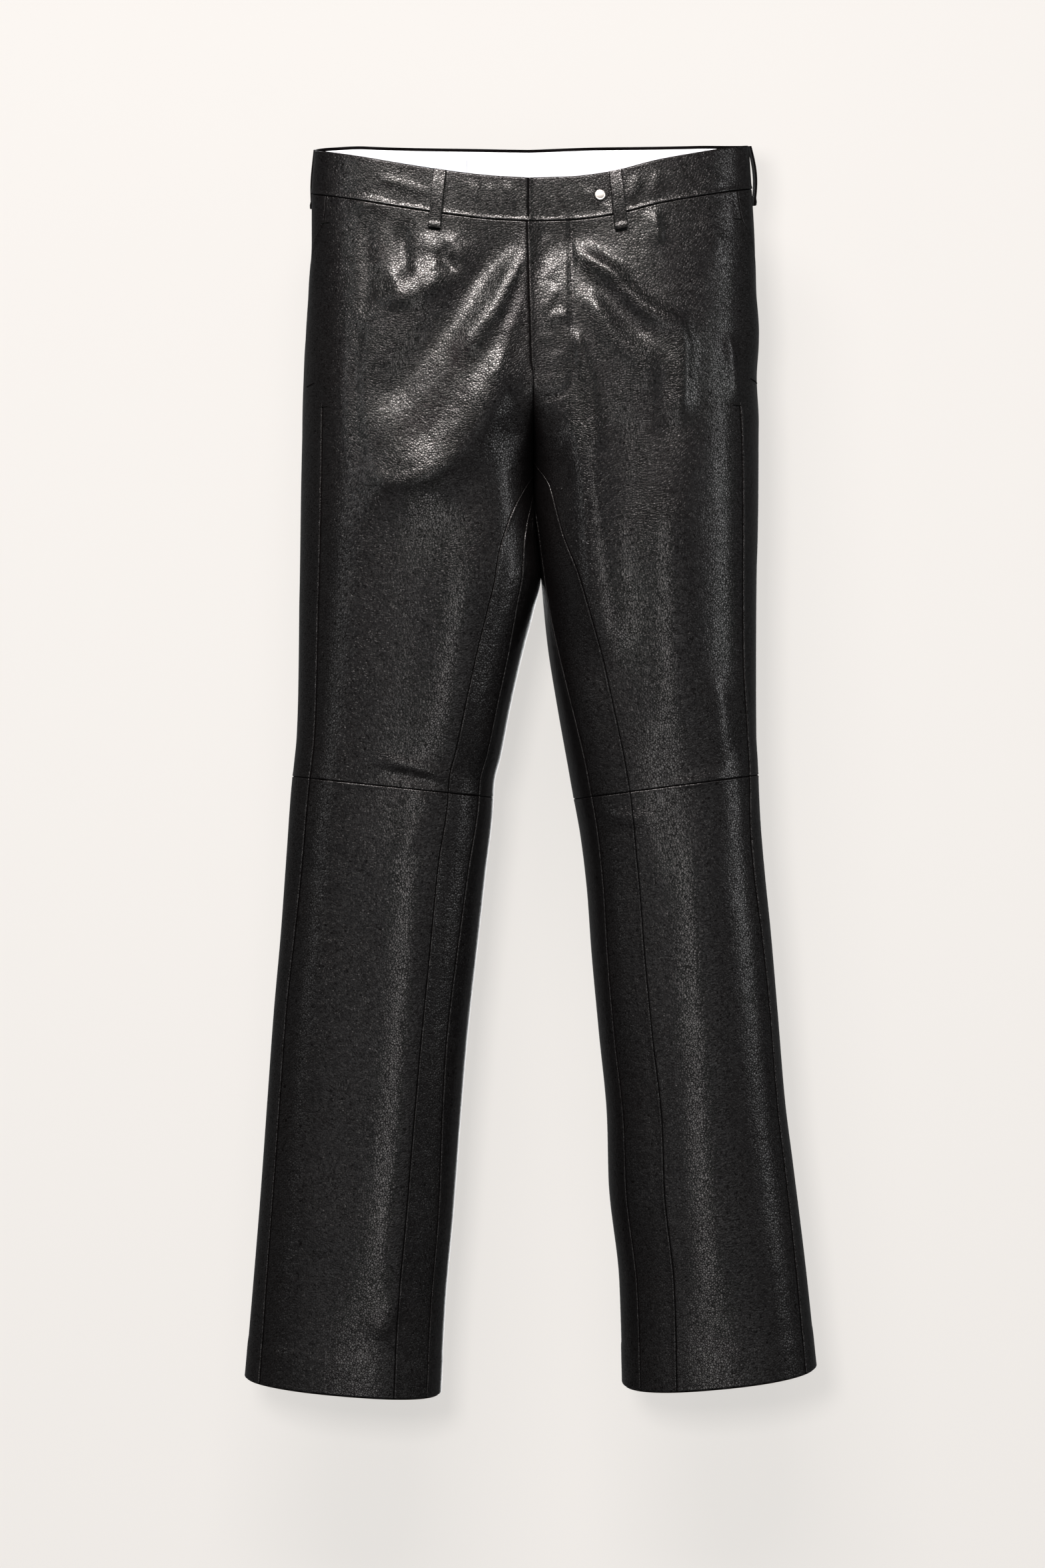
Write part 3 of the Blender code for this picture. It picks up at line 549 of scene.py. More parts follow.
class Section:
    """One leg's outline at one height: points from the inner front round the outside to the inner back."""

    STEPS = 60

    def __init__(self, leg, height):
        self.leg = leg
        self.height = height
        self.closed = height < CROTCH
        outline = (leg_outlines[leg].value(column, height) for column in OUTLINE_COLUMNS[1:])
        self.inner, self.outer, self.tilt = outline
        self.inner -= leg * PRESSED
        self.points = self.trace({name: form_depths.value(name, height) for name in PROFILE_COLUMNS[1:]})
        self.arcs = [0.0]
        for near, far in pairwise(self.points):
            self.arcs.append(self.arcs[-1] + math.dist(near, far))
        self.length = self.arcs[-1]
        self.rows = [(*point, *self.direction(i)) for i, point in enumerate(self.points)]

    def trace(self, shape):
        inner, outer, front, back = self.inner, self.outer, shape["front"], shape["back"]
        crest = inner + shape["crest"] * (outer - inner)
        side = (front + back) / 2
        start = CROTCH_MIDDLE + (front - CROTCH_MIDDLE) * crotch_share(self.height, FRONT_CURVE_TOP)
        end = CROTCH_MIDDLE + (back - CROTCH_MIDDLE) * crotch_share(self.height, BACK_CURVE_TOP)
        quarters = (
            (inner, start, crest, front, "round_in", True),
            (crest, front, outer, side, "round_out", False),
            (outer, side, crest, back, "round_out", True),
            (crest, back, inner, end, "round_in", False),
        )
        points = []
        for x0, y0, x1, y1, bend, from_side in quarters:
            power = 2 / shape[bend]
            for i in range(self.STEPS):
                angle = math.pi / 2 * i / self.STEPS
                rise = math.sin(angle) ** power
                run = 1 - math.cos(angle) ** power
                along_x, along_y = (run, rise) if from_side else (rise, run)
                points.append((x0 + (x1 - x0) * along_x, y0 + (y1 - y0) * along_y))
        points.append((inner, end))
        return points

    def arc_at_turn(self, turn):
        place = turn * self.STEPS
        low = min(int(place), len(self.arcs) - 2)
        return self.arcs[low] + (self.arcs[low + 1] - self.arcs[low]) * (place - low)

    def arc_at_x(self, x, face=FRONT):
        """The arc length where the front or the back of the section passes x."""
        first = 0 if face == FRONT else 2 * self.STEPS
        for i in range(first, first + 2 * self.STEPS):
            near, far = self.points[i][0], self.points[i + 1][0]
            if (x - near) * (x - far) <= 0 and near != far:
                return self.arcs[i] + (self.arcs[i + 1] - self.arcs[i]) * (x - near) / (far - near)
        return 0.0 if face == FRONT else self.length

    def place(self, arc):
        """The point and outward direction at an arc length within the section."""
        x, y, along_x, along_y = between(self.arcs, self.rows, arc)
        size = math.hypot(along_x, along_y)
        return x, y, (self.leg * along_y / size, -self.leg * along_x / size)

    def within(self, arc):
        """A closed section goes round again past its end, and an open one stops there."""
        return arc % self.length if self.closed else min(max(arc, 0.0), self.length)

    def direction(self, i):
        last = len(self.points) - 1
        if self.closed:
            before, after = self.points[i - 1 if i > 0 else last - 1], self.points[i + 1 if i < last else 1]
        else:
            before, after = self.points[max(i - 1, 0)], self.points[min(i + 1, last)]
        size = math.dist(before, after)
        return (after[0] - before[0]) / size, (after[1] - before[1]) / size


@cache
def section(leg, height):
    return Section(leg, height)


def smooth_line(line, spans=4):
    """Points along a curve through the given ones, with a number of spans between each two."""
    ends = [line[0] * 2 - line[1], *line, line[-1] * 2 - line[-2]]
    points = []
    for a, b, c, d in zip(ends, ends[1:], ends[2:], ends[3:]):
        for i in range(spans):
            t = i / spans
            square, cube = a * 2 - b * 5 + c * 4 - d, b * 3 - a - c * 3 + d
            points.append((b * 2 + (c - a) * t + square * t**2 + cube * t**3) / 2)
    return points + [line[-1]]


def distances(line):
    """How far along a line each of its points is."""
    sums = [0.0]
    for near, far in pairwise(line):
        sums.append(sums[-1] + (far - near).length)
    return sums


class Fold:
    """A soft ridge or trough along a smooth line, fading out at both ends."""

    REACH = 2.4
    FADE_SHARE = 0.35
    FADE_WIDTHS = 3.2

    def __init__(self, rise, wide_top, wide_foot, line, skew=0.0):
        self.rise, self.wide_top, self.wide_foot, self.skew = rise, wide_top, wide_foot, skew
        self.points = smooth_line([Vector(place) for place in zip(line[::2], line[1::2])])
        self.lengths = distances(self.points)
        self.fade = min(self.FADE_SHARE * self.lengths[-1], self.FADE_WIDTHS * (wide_top + wide_foot) / 2)
        reach = self.REACH * max(wide_top, wide_foot) * (1 + abs(skew))
        self.low = Vector(min(p[i] for p in self.points) - reach for i in range(2))
        self.high = Vector(max(p[i] for p in self.points) + reach for i in range(2))

    def lift(self, x, z):
        if not (self.low.x < x < self.high.x and self.low.y < z < self.high.y):
            return 0.0
        nearest, share, flank = 1e9, 0.0, 1
        for i, (near, far) in enumerate(pairwise(self.points)):
            run_x, run_z = far.x - near.x, far.y - near.y
            size = run_x * run_x + run_z * run_z
            along = ((x - near.x) * run_x + (z - near.y) * run_z) / size
            along = min(max(along, 0.0), 1.0)
            off_x, off_z = x - near.x - run_x * along, z - near.y - run_z * along
            away = off_x * off_x + off_z * off_z
            if away < nearest:
                nearest = away
                share = (self.lengths[i] + (self.lengths[i + 1] - self.lengths[i]) * along) / self.lengths[-1]
                flank = 1 if off_x * run_z - off_z * run_x > 0 else -1
        wide = self.wide_top + (self.wide_foot - self.wide_top) * share
        wide *= 1 + self.skew * flank
        ends = min(share, 1 - share) * self.lengths[-1]
        return self.rise * smooth_step(ends / self.fade) * math.exp(-nearest / wide**2)


folds = {side: [Fold(*row) for row in rows] for side, rows in FOLDS.items()}


def form_point(leg, height, arc, depth):
    """The place at a depth under the surface, in metres, how far folds lift it, and how far under the surface
    it lies as a share, which paints shade into the seams.
    """
    here = section(leg, height)
    arc = here.within(arc)
    x, y, out = here.place(arc)
    dip = waist_dips.value(SIDE_NAMES[leg], arc / here.length)
    z = height + dip * smooth_step((height - DIP_END) / (DIP_FULL - DIP_END))
    z += here.tilt * leg * (x - (here.inner + here.outer) / 2)
    z += HEM_PITCH[leg] * y * smooth_step((KNEE - height) / (KNEE - HEM[leg]))
    facing = smooth_step(abs(out[1]) * FOLD_FACING) * smooth_step(abs(x - here.inner) / FOLD_CLEAR)
    lift = sum(fold.lift(x, z) for fold in folds[leg, FRONT if out[1] < 0 else BACK]) * facing
    at = Vector((x + out[0] * (lift - depth), y + out[1] * (lift - depth), z)) * MM
    return at, lift, smooth_step(depth / SEAM_SHADE_DEPTH)


def arc_at_seam(leg, height, seam):
    here = section(leg, height)
    return here.arc_at_x(here.inner + leg * leg_seams[leg].value(seam, height))


def gusset_seam(leg, height):
    """The seam between front and gusset, which runs into the centre front at the gusset's tip."""
    return 0.0 if height >= GUSSET_TOP[leg] else arc_at_seam(leg, height, "gusset")


def inseam(leg, height):
    """The seam between gusset and back, which ends at the crotch."""
    return 0.0 if height >= CROTCH else arc_at_seam(leg, height, "inseam")


def inseam_from_back(leg, height):
    return section(leg, height).length + inseam(leg, height)


def slit(leg, height):
    here = section(leg, height)
    return here.arc_at_x(here.outer - leg * leg_seams[leg].value("dart", height))


def side_seam(leg, height):
    return section(leg, height).arc_at_turn(side_turns.value("turn", height))


def steps_across(width, wide_step=WIDE_STEP):
    """Distances across a width, close together at both ends, where the edges turn under."""
    start = list(CLOSE_STEPS)
    finish = [width - s for s in reversed(CLOSE_STEPS)]
    span = finish[0] - start[-1]
    count = max(1, round(span / wide_step))
    return start[:-1] + [start[-1] + span * i / count for i in range(count + 1)] + finish[1:]


def turned_edge(away, raised, radius=EDGE_RADIUS):
    """Depth below the surface near an edge that is turned under. A raised edge lies over its neighbour's."""
    roll = min(max(1 - away / radius, 0.0), 1.0)
    return radius * (1 - math.sqrt(1 - roll * roll)) - raised * math.exp(-((away / LIP) ** 2))


def fly_share(height):
    """1 along the fly, where the wearer's left front laps over the right one, and 0 below its foot."""
    return smooth_step((height - FLY_FOOT) / FLY_FADE)


def stands(border, leg, height, raised):
    return raised + (FLY_RAISED * fly_share(height) if border is gusset_seam and leg == LEFT else 0.0)


def open_share(border, leg, height):
    """How far an edge is turned under: the slit from its tack down, the right front only below the fly."""
    if border is slit:
        return smooth_step((SLIT_TOP - height) / SLIT_FADE)
    return 1.0 - fly_share(height) if border is gusset_seam and leg == RIGHT else 1.0


def new_verts(made):
    return [v for v in made["geom"] if isinstance(v, bmesh.types.BMVert)]


def wall_mesh(name, across, down, place):
    """A closed wall: a grid sheet extruded into a wall and moved into place.

    place(one of across, one of down, inside) gives a vertex its position in metres, how far a fold lifts it,
    and how far under the surface it lies, which the leather uses to paint shade into the seams.
    """
    shape = bmesh.new()
    columns, rows = len(across) - 1, len(down) - 1
    bmesh.ops.create_grid(shape, x_segments=columns, y_segments=rows, size=0.5)
    rub_of = shape.verts.layers.float.new("rub")
    seam_shade_of = shape.verts.layers.float.new("seam_shade")
    inside_of = shape.verts.layers.int.new("inside")
    for vert in shape.verts:
        vert.co.x = round((vert.co.x + 0.5) * columns)
        vert.co.y = round((vert.co.y + 0.5) * rows)
        vert[inside_of] = 1
    made = bmesh.ops.extrude_face_region(shape, geom=list(shape.faces), use_keep_orig=True)
    for vert in new_verts(made):
        vert[inside_of] = 0
    for vert in shape.verts:
        column, row = round(vert.co.x), round(vert.co.y)
        vert.co, vert[rub_of], vert[seam_shade_of] = place(across[column], down[row], vert[inside_of])
    if shape.calc_volume(signed=True) < 0:
        bmesh.ops.reverse_faces(shape, faces=shape.faces)
    return make_mesh(name, shape)


def add_piece(name, mesh, material, slot, node=None, flat=None, area=None, held="hung"):
    """Puts a piece in the scene in place of its solid. The sheet's cut, width and length and area, is not
    used.
    """
    mesh.materials.append(material)
    piece = add_object(name, mesh)
    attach(piece, "root")
    if node:
        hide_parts(node)


def cut_panel(name, leg, top, foot, borders, raised, step=WIDE_STEP):
    """A leather panel between seams, its borders, in order round the leg.

    raised is how far each edge stands up: at the first border, before and after each inner one, at the last,
    at the top and at the foot.
    """
    heights = [top - s for s in steps_across(top - foot, step)]
    middle = (top + foot) / 2
    spans = []
    for low, high in pairwise(borders):
        width = high(leg, middle) - low(leg, middle)
        spans.append([s / width for s in steps_across(width, step)])
    columns = [(i, share) for i, shares in enumerate(spans) for share in (shares if i == 0 else shares[1:])]

    def place(column, height, inside):
        span, share = column
        start, end = borders[span](leg, height), borders[span + 1](leg, height)
        arc = start + (end - start) * share
        if inside:
            at_hem = height == HEM[leg]
            at, lift, seam_shade = form_point(leg, height - HEM_PEEP * at_hem, arc, LEATHER)
            lift = RAW_EDGE if at_hem else lift
        else:
            at, lift, seam_shade = form_point(leg, height, arc, edge_depth(span, arc - start, end - arc, height))
        if borders[0] is gusset_seam and leg == LEFT:
            at.x -= FLY_LAP * fly_share(height) * math.exp(-((arc / LIP) ** 2)) * MM
        return at, lift, seam_shade

    def edge_depth(span, after, before, height):
        depth = turned_edge(top - height, raised[-2]) + turned_edge(height - foot, raised[-1])
        for border, away, stand in (
            (borders[span], after, raised[2 * span]),
            (borders[span + 1], before, raised[2 * span + 1]),
        ):
            radius = SLIT_RADIUS if border is slit else EDGE_RADIUS
            edge = turned_edge(away, stands(border, leg, height, stand), radius)
            depth += edge * open_share(border, leg, height)
            if border is gusset_seam and leg == RIGHT:
                depth += FLY_SUNK * fly_share(height) * math.exp(-((away / LIP) ** 2))
        if foot == HEM[leg]:
            depth -= HEM_DOUBLED * smooth_step((foot + HEM_TURN_UP - height) / HEM_STEP)
        return min(depth, LEATHER - LEAST_WALL)

    return wall_mesh(name, columns, heights, place)


# Aniline-finished cowhide, milled in a drum until the grain stands up in pebbles of about two millimetres.
# It gives near-black with a broken, pinkish sheen that is sharpest where a fold has been rubbed, and a bare
# tan cut edge.
PEBBLE = 1.9
CRACK_SHARE = 0.13
DOME_SHARE = 0.8
WANDER = 3.2
WANDERING = 0.0013
UNEVEN = 6.0
LOOSE = 24.0
CLOUD = 55.0
GRAIN_DOME = 0.08
GRAIN_CRACK = 0.07
GRAIN_UNEVEN = 0.11
HIDE_LOOSE = 0.45
# The darker crack colour and the lower crack sheen are painted shade in the grain's cracks.
DYE, DYE_CLOUD, CRACK_SHADE, TAN = "#0b0b0c", "#110f0f", "#060505", "#a08a70"
ROUGH, RUBBED_ROUGH, RAW_ROUGH = 0.25, 0.19, 0.85
RUB_LOW, RUB_HIGH = -0.5, 3.0
SHEEN_LOW, SHEEN_HIGH, CRACK_SHADE_SHEEN = 0.30, 0.70, 0.06
SEAM_SHADE_FULL = 0.35

leather, tree = empty_material("milled_cowhide")
place_on = add_node(tree, "TexCoord").outputs["Object"]
wander = add_node(tree, "TexNoise", {"Scale": 1 / (WANDER * MM), "Detail": 2.0}, {"Vector": place_on})
wandered = add_node(
    tree,
    "MixRGB",
    {"Fac": WANDERING, "blend_type": "ADD"},
    {"Color1": place_on, "Color2": wander.outputs["Color"]},
)
pebbles = {"Scale": 1 / (PEBBLE * MM)}
rim = add_node(tree, "TexVoronoi", {"feature": "DISTANCE_TO_EDGE", **pebbles}, {"Vector": wandered})
middle = add_node(tree, "TexVoronoi", {"feature": "F1", **pebbles}, {"Vector": wandered})
crack = add_node(
    tree, "MapRange", {"From Max": CRACK_SHARE, "interpolation_type": "SMOOTHSTEP"}, {"Value": rim}
)
dome = add_node(tree, "MapRange", {"From Max": DOME_SHARE, "To Min": 1.0, "To Max": 0.0}, {"Value": middle})
uneven = add_node(tree, "TexNoise", {"Scale": 1 / (UNEVEN * MM), "Detail": 3.0}, {"Vector": place_on})
cloudy = add_node(tree, "TexNoise", {"Scale": 1 / (CLOUD * MM), "Detail": 2.0}, {"Vector": place_on})
loose = add_node(tree, "TexNoise", {"Scale": 1 / (LOOSE * MM), "Detail": 2.0}, {"Vector": place_on})
relief = {}
for form, share in ((dome, GRAIN_DOME), (crack, GRAIN_CRACK), (uneven, GRAIN_UNEVEN), (loose, HIDE_LOOSE)):
    added = {"operation": "MULTIPLY_ADD", 1: share, 2: 0.0}
    relief = {2: add_node(tree, "Math", added, {0: form, **relief})}
bump = add_node(tree, "Bump", {"Strength": 1.0, "Distance": MM}, {"Height": relief[2]})

# Colour: near-black, blacker in the cracks as painted shade, and tan where the cut edge is bare.
rub = add_node(tree, "Attribute", {"attribute_name": "rub"}).outputs["Fac"]
dye = add_node(tree, "MixRGB", {"Color1": linear(DYE), "Color2": linear(DYE_CLOUD)}, {"Fac": cloudy})
crack_shaded = add_node(tree, "MixRGB", {"Color1": linear(CRACK_SHADE)}, {"Fac": crack, "Color2": dye})
raw = add_node(tree, "MapRange", {"From Min": RAW_EDGE / 2, "From Max": RAW_EDGE}, {"Value": rub})
colour = add_node(tree, "MixRGB", {"Color2": linear(TAN)}, {"Fac": raw, "Color1": crack_shaded})

# Gloss: smoother where folds rub, another amount on each pebble, less in the cracks as painted shade, and
# none on edges turned under into the seams, which paints shade there.
rubbing = {"From Min": RUB_LOW, "From Max": RUB_HIGH, "To Min": ROUGH, "To Max": RUBBED_ROUGH}
gloss = add_node(tree, "MapRange", rubbing, {"Value": rub})
nap = add_node(tree, "MapRange", {"To Max": RAW_ROUGH}, {"Value": raw, "To Min": gloss})
chance = add_node(tree, "SeparateColor", {}, {0: middle.outputs["Color"]})
seam_shade = add_node(tree, "Attribute", {"attribute_name": "seam_shade"}).outputs["Fac"]
polish = add_node(tree, "MapRange", {"To Min": SHEEN_LOW, "To Max": SHEEN_HIGH}, {"Value": chance})
crack_shaded_sheen = add_node(tree, "MapRange", {"To Min": CRACK_SHADE_SHEEN}, {"Value": crack, "To Max": polish})
seam_shaded_sheen = add_node(tree, "MapRange", {"From Max": SEAM_SHADE_FULL, "To Max": 0.0}, {"Value": seam_shade, "To Min": crack_shaded_sheen})
coated = {"Base Color": colour, "Roughness": nap, "Specular IOR Level": seam_shaded_sheen, "Normal": bump}
hide = add_node(tree, "BsdfPrincipled", {"IOR": 1.5}, coated)
add_node(tree, "OutputMaterial", {}, {"Surface": hide})

WAIST_SEAM = -BAND_HEIGHT
FRONT_BORDERS = (gusset_seam, slit, side_seam)
FRONT_RAISED = (0.0, 0.0, SLIT_PROUD, 0.4, 0.0, 0.2)
FRONT_CUT = {RIGHT: ((0.267, 0.504), 0.109), LEFT: ((0.259, 0.504), 0.105)}
for leg, side in SIDE_NAMES.items():
    name = f"upper_front_{side}"
    mesh = cut_panel(name, leg, WAIST_SEAM, KNEE, FRONT_BORDERS, FRONT_RAISED, FRONT_STEP)
    add_piece(f"{name}_leather", mesh, leather, "black_leather", f"front_upper_{side}", *FRONT_CUT[leg])

# ------------------------------------------------------------------------------
# Leather below the knee and behind: straight panels of the same hide, seamed to each other with edges
# turned under. The gusset's edges lie over its neighbours', and the strips outside the slits stand up over
# the fronts.
TIP = "tip"
TIP_CUT = 1.5
HEM_FOOT = None
PANELS = (
    ("lower_front", "front_lower", KNEE, HEM_FOOT, (gusset_seam, slit), (0.0, 0.0, 0.2, 0.1)),
    ("lower_side", "side_lower", KNEE, HEM_FOOT, (slit, side_seam), (SLIT_PROUD, 0.3, 0.2, 0.1)),
    ("upper_gusset", "gusset_upper", TIP, KNEE, (inseam, gusset_seam), (0.0, 0.5, 0.0, 0.0)),
    ("lower_gusset", "gusset_lower", KNEE, HEM_FOOT, (inseam, gusset_seam), (0.0, 0.5, 0.0, 0.1)),
    ("upper_back", "back_upper", WAIST_SEAM, KNEE, (side_seam, inseam_from_back), (0.0, 0.5, 0.0, 0.2)),
    ("lower_back", "back_lower", KNEE, HEM_FOOT, (side_seam, inseam_from_back), (0.0, 0.5, 0.2, 0.1)),
)
# Each one's cut before it is sewn: width and length in metres, and area in square metres.
CUTS = {}
CUTS[RIGHT] = (
    ((0.125, 0.525), 0.0641),
    ((0.049, 0.525), 0.0217),
    ((0.041, 0.316), 0.0086),
    ((0.033, 0.523), 0.0153),
    ((0.330, 0.557), 0.1447),
    ((0.268, 0.520), 0.1361),
)
CUTS[LEFT] = (
    ((0.119, 0.520), 0.0578),
    ((0.041, 0.518), 0.0187),
    ((0.053, 0.315), 0.0125),
    ((0.037, 0.517), 0.0185),
    ((0.291, 0.549), 0.1391),
    ((0.258, 0.509), 0.1284),
)
for leg, side in SIDE_NAMES.items():
    for (name, node, top, foot, borders, raised), cut in zip(PANELS, CUTS[leg]):
        top = GUSSET_TOP[leg] - TIP_CUT if top == TIP else top
        foot = HEM[leg] if foot is HEM_FOOT else foot
        mesh = cut_panel(f"{name}_{side}", leg, top, foot, borders, raised)
        add_piece(f"{name}_{side}_leather", mesh, leather, "black_leather", f"{node}_{side}", *cut)

# ------------------------------------------------------------------------------
# Waistband: doubled leather in two halves, its lower edge folded under and standing a little over the
# panels. The wearer's left half laps over the right one at the centre front.
BAND_WALL = 2.4
BAND_PROUD = 0.8
BAND_LAP = 1.0
BAND_SUNK = 0.5
BAND_FOOT_ROLL = 1.4
BAND_BACK_ROLL = 0.7
BAND_STEP = 2.4
BAND_CUT = {RIGHT: (0.416, 0.038), LEFT: (0.426, 0.038)}


def waist_strip(name, leg, first, top, foot, step, depth_at):
    """A strip round one half of the waist, from a distance round it to the centre back.

    depth_at(from the first end, from the centre back, from the top, from the foot, inside) gives its depth.
    """
    whole = section(leg, top).length

    def place(along, fall, inside):
        height = top - fall
        arc = (first + along) / whole * section(leg, height).length
        depth = depth_at(along, whole - first - along, fall, height - foot, inside)
        return form_point(leg, height, arc, depth)

    return wall_mesh(name, steps_across(whole - first, step), steps_across(top - foot, step), place)


def band_depth(leg):
    def depth_at(front, back, top, foot, inside):
        rolled = turned_edge(top, 0.0)
        if inside:
            return BAND_WALL - rolled
        lap = turned_edge(front, BAND_LAP) if leg == LEFT else BAND_SUNK * math.exp(-((front / LIP) ** 2))
        foot_edge = turned_edge(foot, BAND_PROUD, BAND_FOOT_ROLL)
        return rolled + foot_edge + lap + turned_edge(back, 0.0, BAND_BACK_ROLL)

    return depth_at


for leg, side in SIDE_NAMES.items():
    mesh = waist_strip(f"waistband_{side}", leg, 0.0, 0.0, -BAND_HEIGHT, BAND_STEP, band_depth(leg))
    add_piece(f"waistband_{side}_leather", mesh, leather, "black_leather", f"waistband_{side}", BAND_CUT[leg])

# ------------------------------------------------------------------------------
# Facing inside the band: plain-woven white cotton, hemmed under the band's rolled edge. A blank label,
# woven a little bluer, is let into the back of it, and a leather underlap finishes its end behind the snap.
FACING_DROP = 3.0
FACING_NEAR = BAND_WALL + 2 * HALF_GAP
FACING_WALL = 1.0
FACING_FOOT = -37.5
FACING_FIRST = {RIGHT: 16.0, LEFT: 73.0}
FACING_CUT = {RIGHT: (0.400, 0.035), LEFT: (0.353, 0.035)}
FACING_STEP = 5.0
FACING_ROLL = 0.45
LABEL_SPAN = (-115.5, -56.5)
LABEL_DROP = 10.0
LABEL_HEIGHT = 24.0
LABEL_WALL = 0.8
LABEL_ROLL = 0.3
LABEL_NEAR = FACING_NEAR + FACING_WALL + 2 * HALF_GAP
LABEL_CUT = (0.059, 0.024)
UNDERLAP_SPAN = (-12.0, 68.0)
UNDERLAP_WALL = 2.0
UNDERLAP_ROLL = 0.9
UNDERLAP_CUT = (0.080, 0.035)
COTTON_THREAD = 0.5
COTTON_RELIEF = 0.08
LABEL_THREAD = 0.35
LABEL_RELIEF = 0.05


def woven(name, colour, hollow_shade, thread, relief_height):
    """Plain weave: threads cross over and under at one pitch round the waist and up it, darker where they dip
    as painted shade. It gives a matt cloth."""
    made, tree = empty_material(name)
    parts = add_node(tree, "SeparateXYZ", {}, {0: add_node(tree, "TexCoord").outputs["Object"]})
    round_it = add_node(tree, "Math", {"operation": "ADD"}, {0: parts.outputs["X"], 1: parts.outputs["Y"]})
    waves = []
    for source in (round_it, parts.outputs["Z"]):
        turns = add_node(tree, "Math", {"operation": "MULTIPLY", 1: math.pi / (thread * MM)}, {0: source})
        waves.append(add_node(tree, "Math", {"operation": "SINE"}, {0: turns}))
    over = add_node(tree, "Math", {"operation": "MULTIPLY"}, dict(enumerate(waves)))
    share = add_node(tree, "MapRange", {"From Min": -1.0}, {"Value": over})
    tint = add_node(tree, "MixRGB", {"Color1": linear(hollow_shade), "Color2": linear(colour)}, {"Fac": share})
    bump = add_node(tree, "Bump", {"Strength": 0.6, "Distance": relief_height * MM}, {"Height": share})
    matt_cloth = {"Roughness": 0.9, "Sheen Weight": 0.2}
    cloth = add_node(tree, "BsdfPrincipled", matt_cloth, {"Base Color": tint, "Normal": bump})
    add_node(tree, "OutputMaterial", {}, {"Surface": cloth})
    return made


def facing_depth(front, back, top, foot, inside):
    rolled = turned_edge(top, 0.0, FACING_ROLL)
    return FACING_NEAR + (FACING_WALL - rolled if inside else rolled)


cotton = woven("plain_cotton", "#eef1f6", "#e0e4ea", COTTON_THREAD, COTTON_RELIEF)
for leg, side in SIDE_NAMES.items():
    first = FACING_FIRST[leg]
    mesh = waist_strip(f"facing_{side}", leg, first, -FACING_DROP, FACING_FOOT, FACING_STEP, facing_depth)
    add_piece(f"facing_{side}_cotton", mesh, cotton, "white_cotton", f"waist_facing_{side}", FACING_CUT[leg])


def rolled_depth(roll, *edges):
    """Depth at distances from the edges of a strip that is rolled under all round."""
    return min(sum(turned_edge(away, 0.0, roll) for away in edges), roll)


def across_strip(name, face, span, top, foot, near, wall, roll):
    """A strip between two distances across, which may lie over both halves."""

    def place(along, fall, inside):
        x, height = span[0] + along, top - fall
        leg = LEFT if x >= section(LEFT, height).inner - HALF_GAP else RIGHT
        rolled = rolled_depth(roll, min(x - span[0], span[1] - x), fall, height - foot)
        depth = near + (wall - rolled if inside else rolled)
        return form_point(leg, height, section(leg, height).arc_at_x(x, face), depth)

    return wall_mesh(name, steps_across(span[1] - span[0]), steps_across(top - foot), place)


label_weave = woven("woven_label", "#e9eff8", "#d9e2ef", LABEL_THREAD, LABEL_RELIEF)
label_foot = -LABEL_DROP - LABEL_HEIGHT
mesh = across_strip("label", BACK, LABEL_SPAN, -LABEL_DROP, label_foot, LABEL_NEAR, LABEL_WALL, LABEL_ROLL)
add_piece("blank_woven_label", mesh, label_weave, "woven_label", "blank_label", LABEL_CUT)

depths = (FACING_NEAR, UNDERLAP_WALL, UNDERLAP_ROLL)
mesh = across_strip("underlap", FRONT, UNDERLAP_SPAN, -FACING_DROP, FACING_FOOT, *depths)
add_piece("underlap_leather", mesh, leather, "black_leather", "waistband_underlap", UNDERLAP_CUT)

# ------------------------------------------------------------------------------
# Belt loops: five strips of the leather folded double and glued, turned under at the foot and sewn down at
# both ends. They stand slack off the band between, the one at the wearer's left side the most.
LOOP_WIDTH = 11.0
LOOP_LENGTH = 52.0
LOOP_WALL = 1.8
LOOP_SEAT = 0.6
LOOP_ROLL = 0.8
LOOP_STEP = 1.6
LOOP_FOOT = 6.0
LOOP_FOOT_FADE = 2.0
LOOP_FOOT_THICKER = 0.9
LOOP_TOP = 2 * HALF_GAP
# Each one's side and slack, and where it is sewn, at its top and at its foot: by distance across, by turn
# round the leg, or at the centre back, where it lies over both halves.
LOOPS = (
    ("front_right", RIGHT, 1.8, "x", -77.8, -82.5),
    ("front_left", LEFT, 1.8, "x", 72.5, 77.8),
    ("side_right", RIGHT, 0.6, "turn", 2.12, 2.12),
    ("side_left", LEFT, 3.2, "turn", 2.04, 2.04),
    ("back", None, 1.8, "centre", 0.0, 0.0),
)


def loop_mesh(name, leg, slack, kind, top, foot):
    def place(along, fall, inside):
        share = fall / LOOP_LENGTH
        height = -LOOP_TOP - fall
        sideways = along - LOOP_WIDTH / 2
        rolled = rolled_depth(LOOP_ROLL, LOOP_WIDTH / 2 - abs(sideways), LOOP_LENGTH - fall)
        folded = LOOP_FOOT_THICKER * smooth_step((fall - LOOP_LENGTH + LOOP_FOOT) / LOOP_FOOT_FADE)
        stand = LOOP_SEAT + slack * math.sin(math.pi * share)
        stand += rolled if inside else LOOP_WALL - rolled + folded
        half = leg or (LEFT if sideways >= 0 else RIGHT)
        here = section(half, height)
        aim = top + (foot - top) * share
        if kind == "centre":
            arc = here.arc_at_x(here.inner + sideways, BACK)
        else:
            arc = (here.arc_at_x(aim) if kind == "x" else here.arc_at_turn(aim)) + sideways
        # The rolled edges of a loop get the painted seam shade too.
        return form_point(half, height, arc, -stand)[:2] + (rolled / LOOP_ROLL,)

    across, down = (steps_across(size, LOOP_STEP) for size in (LOOP_WIDTH, LOOP_LENGTH))
    return wall_mesh(name, across, down, place)


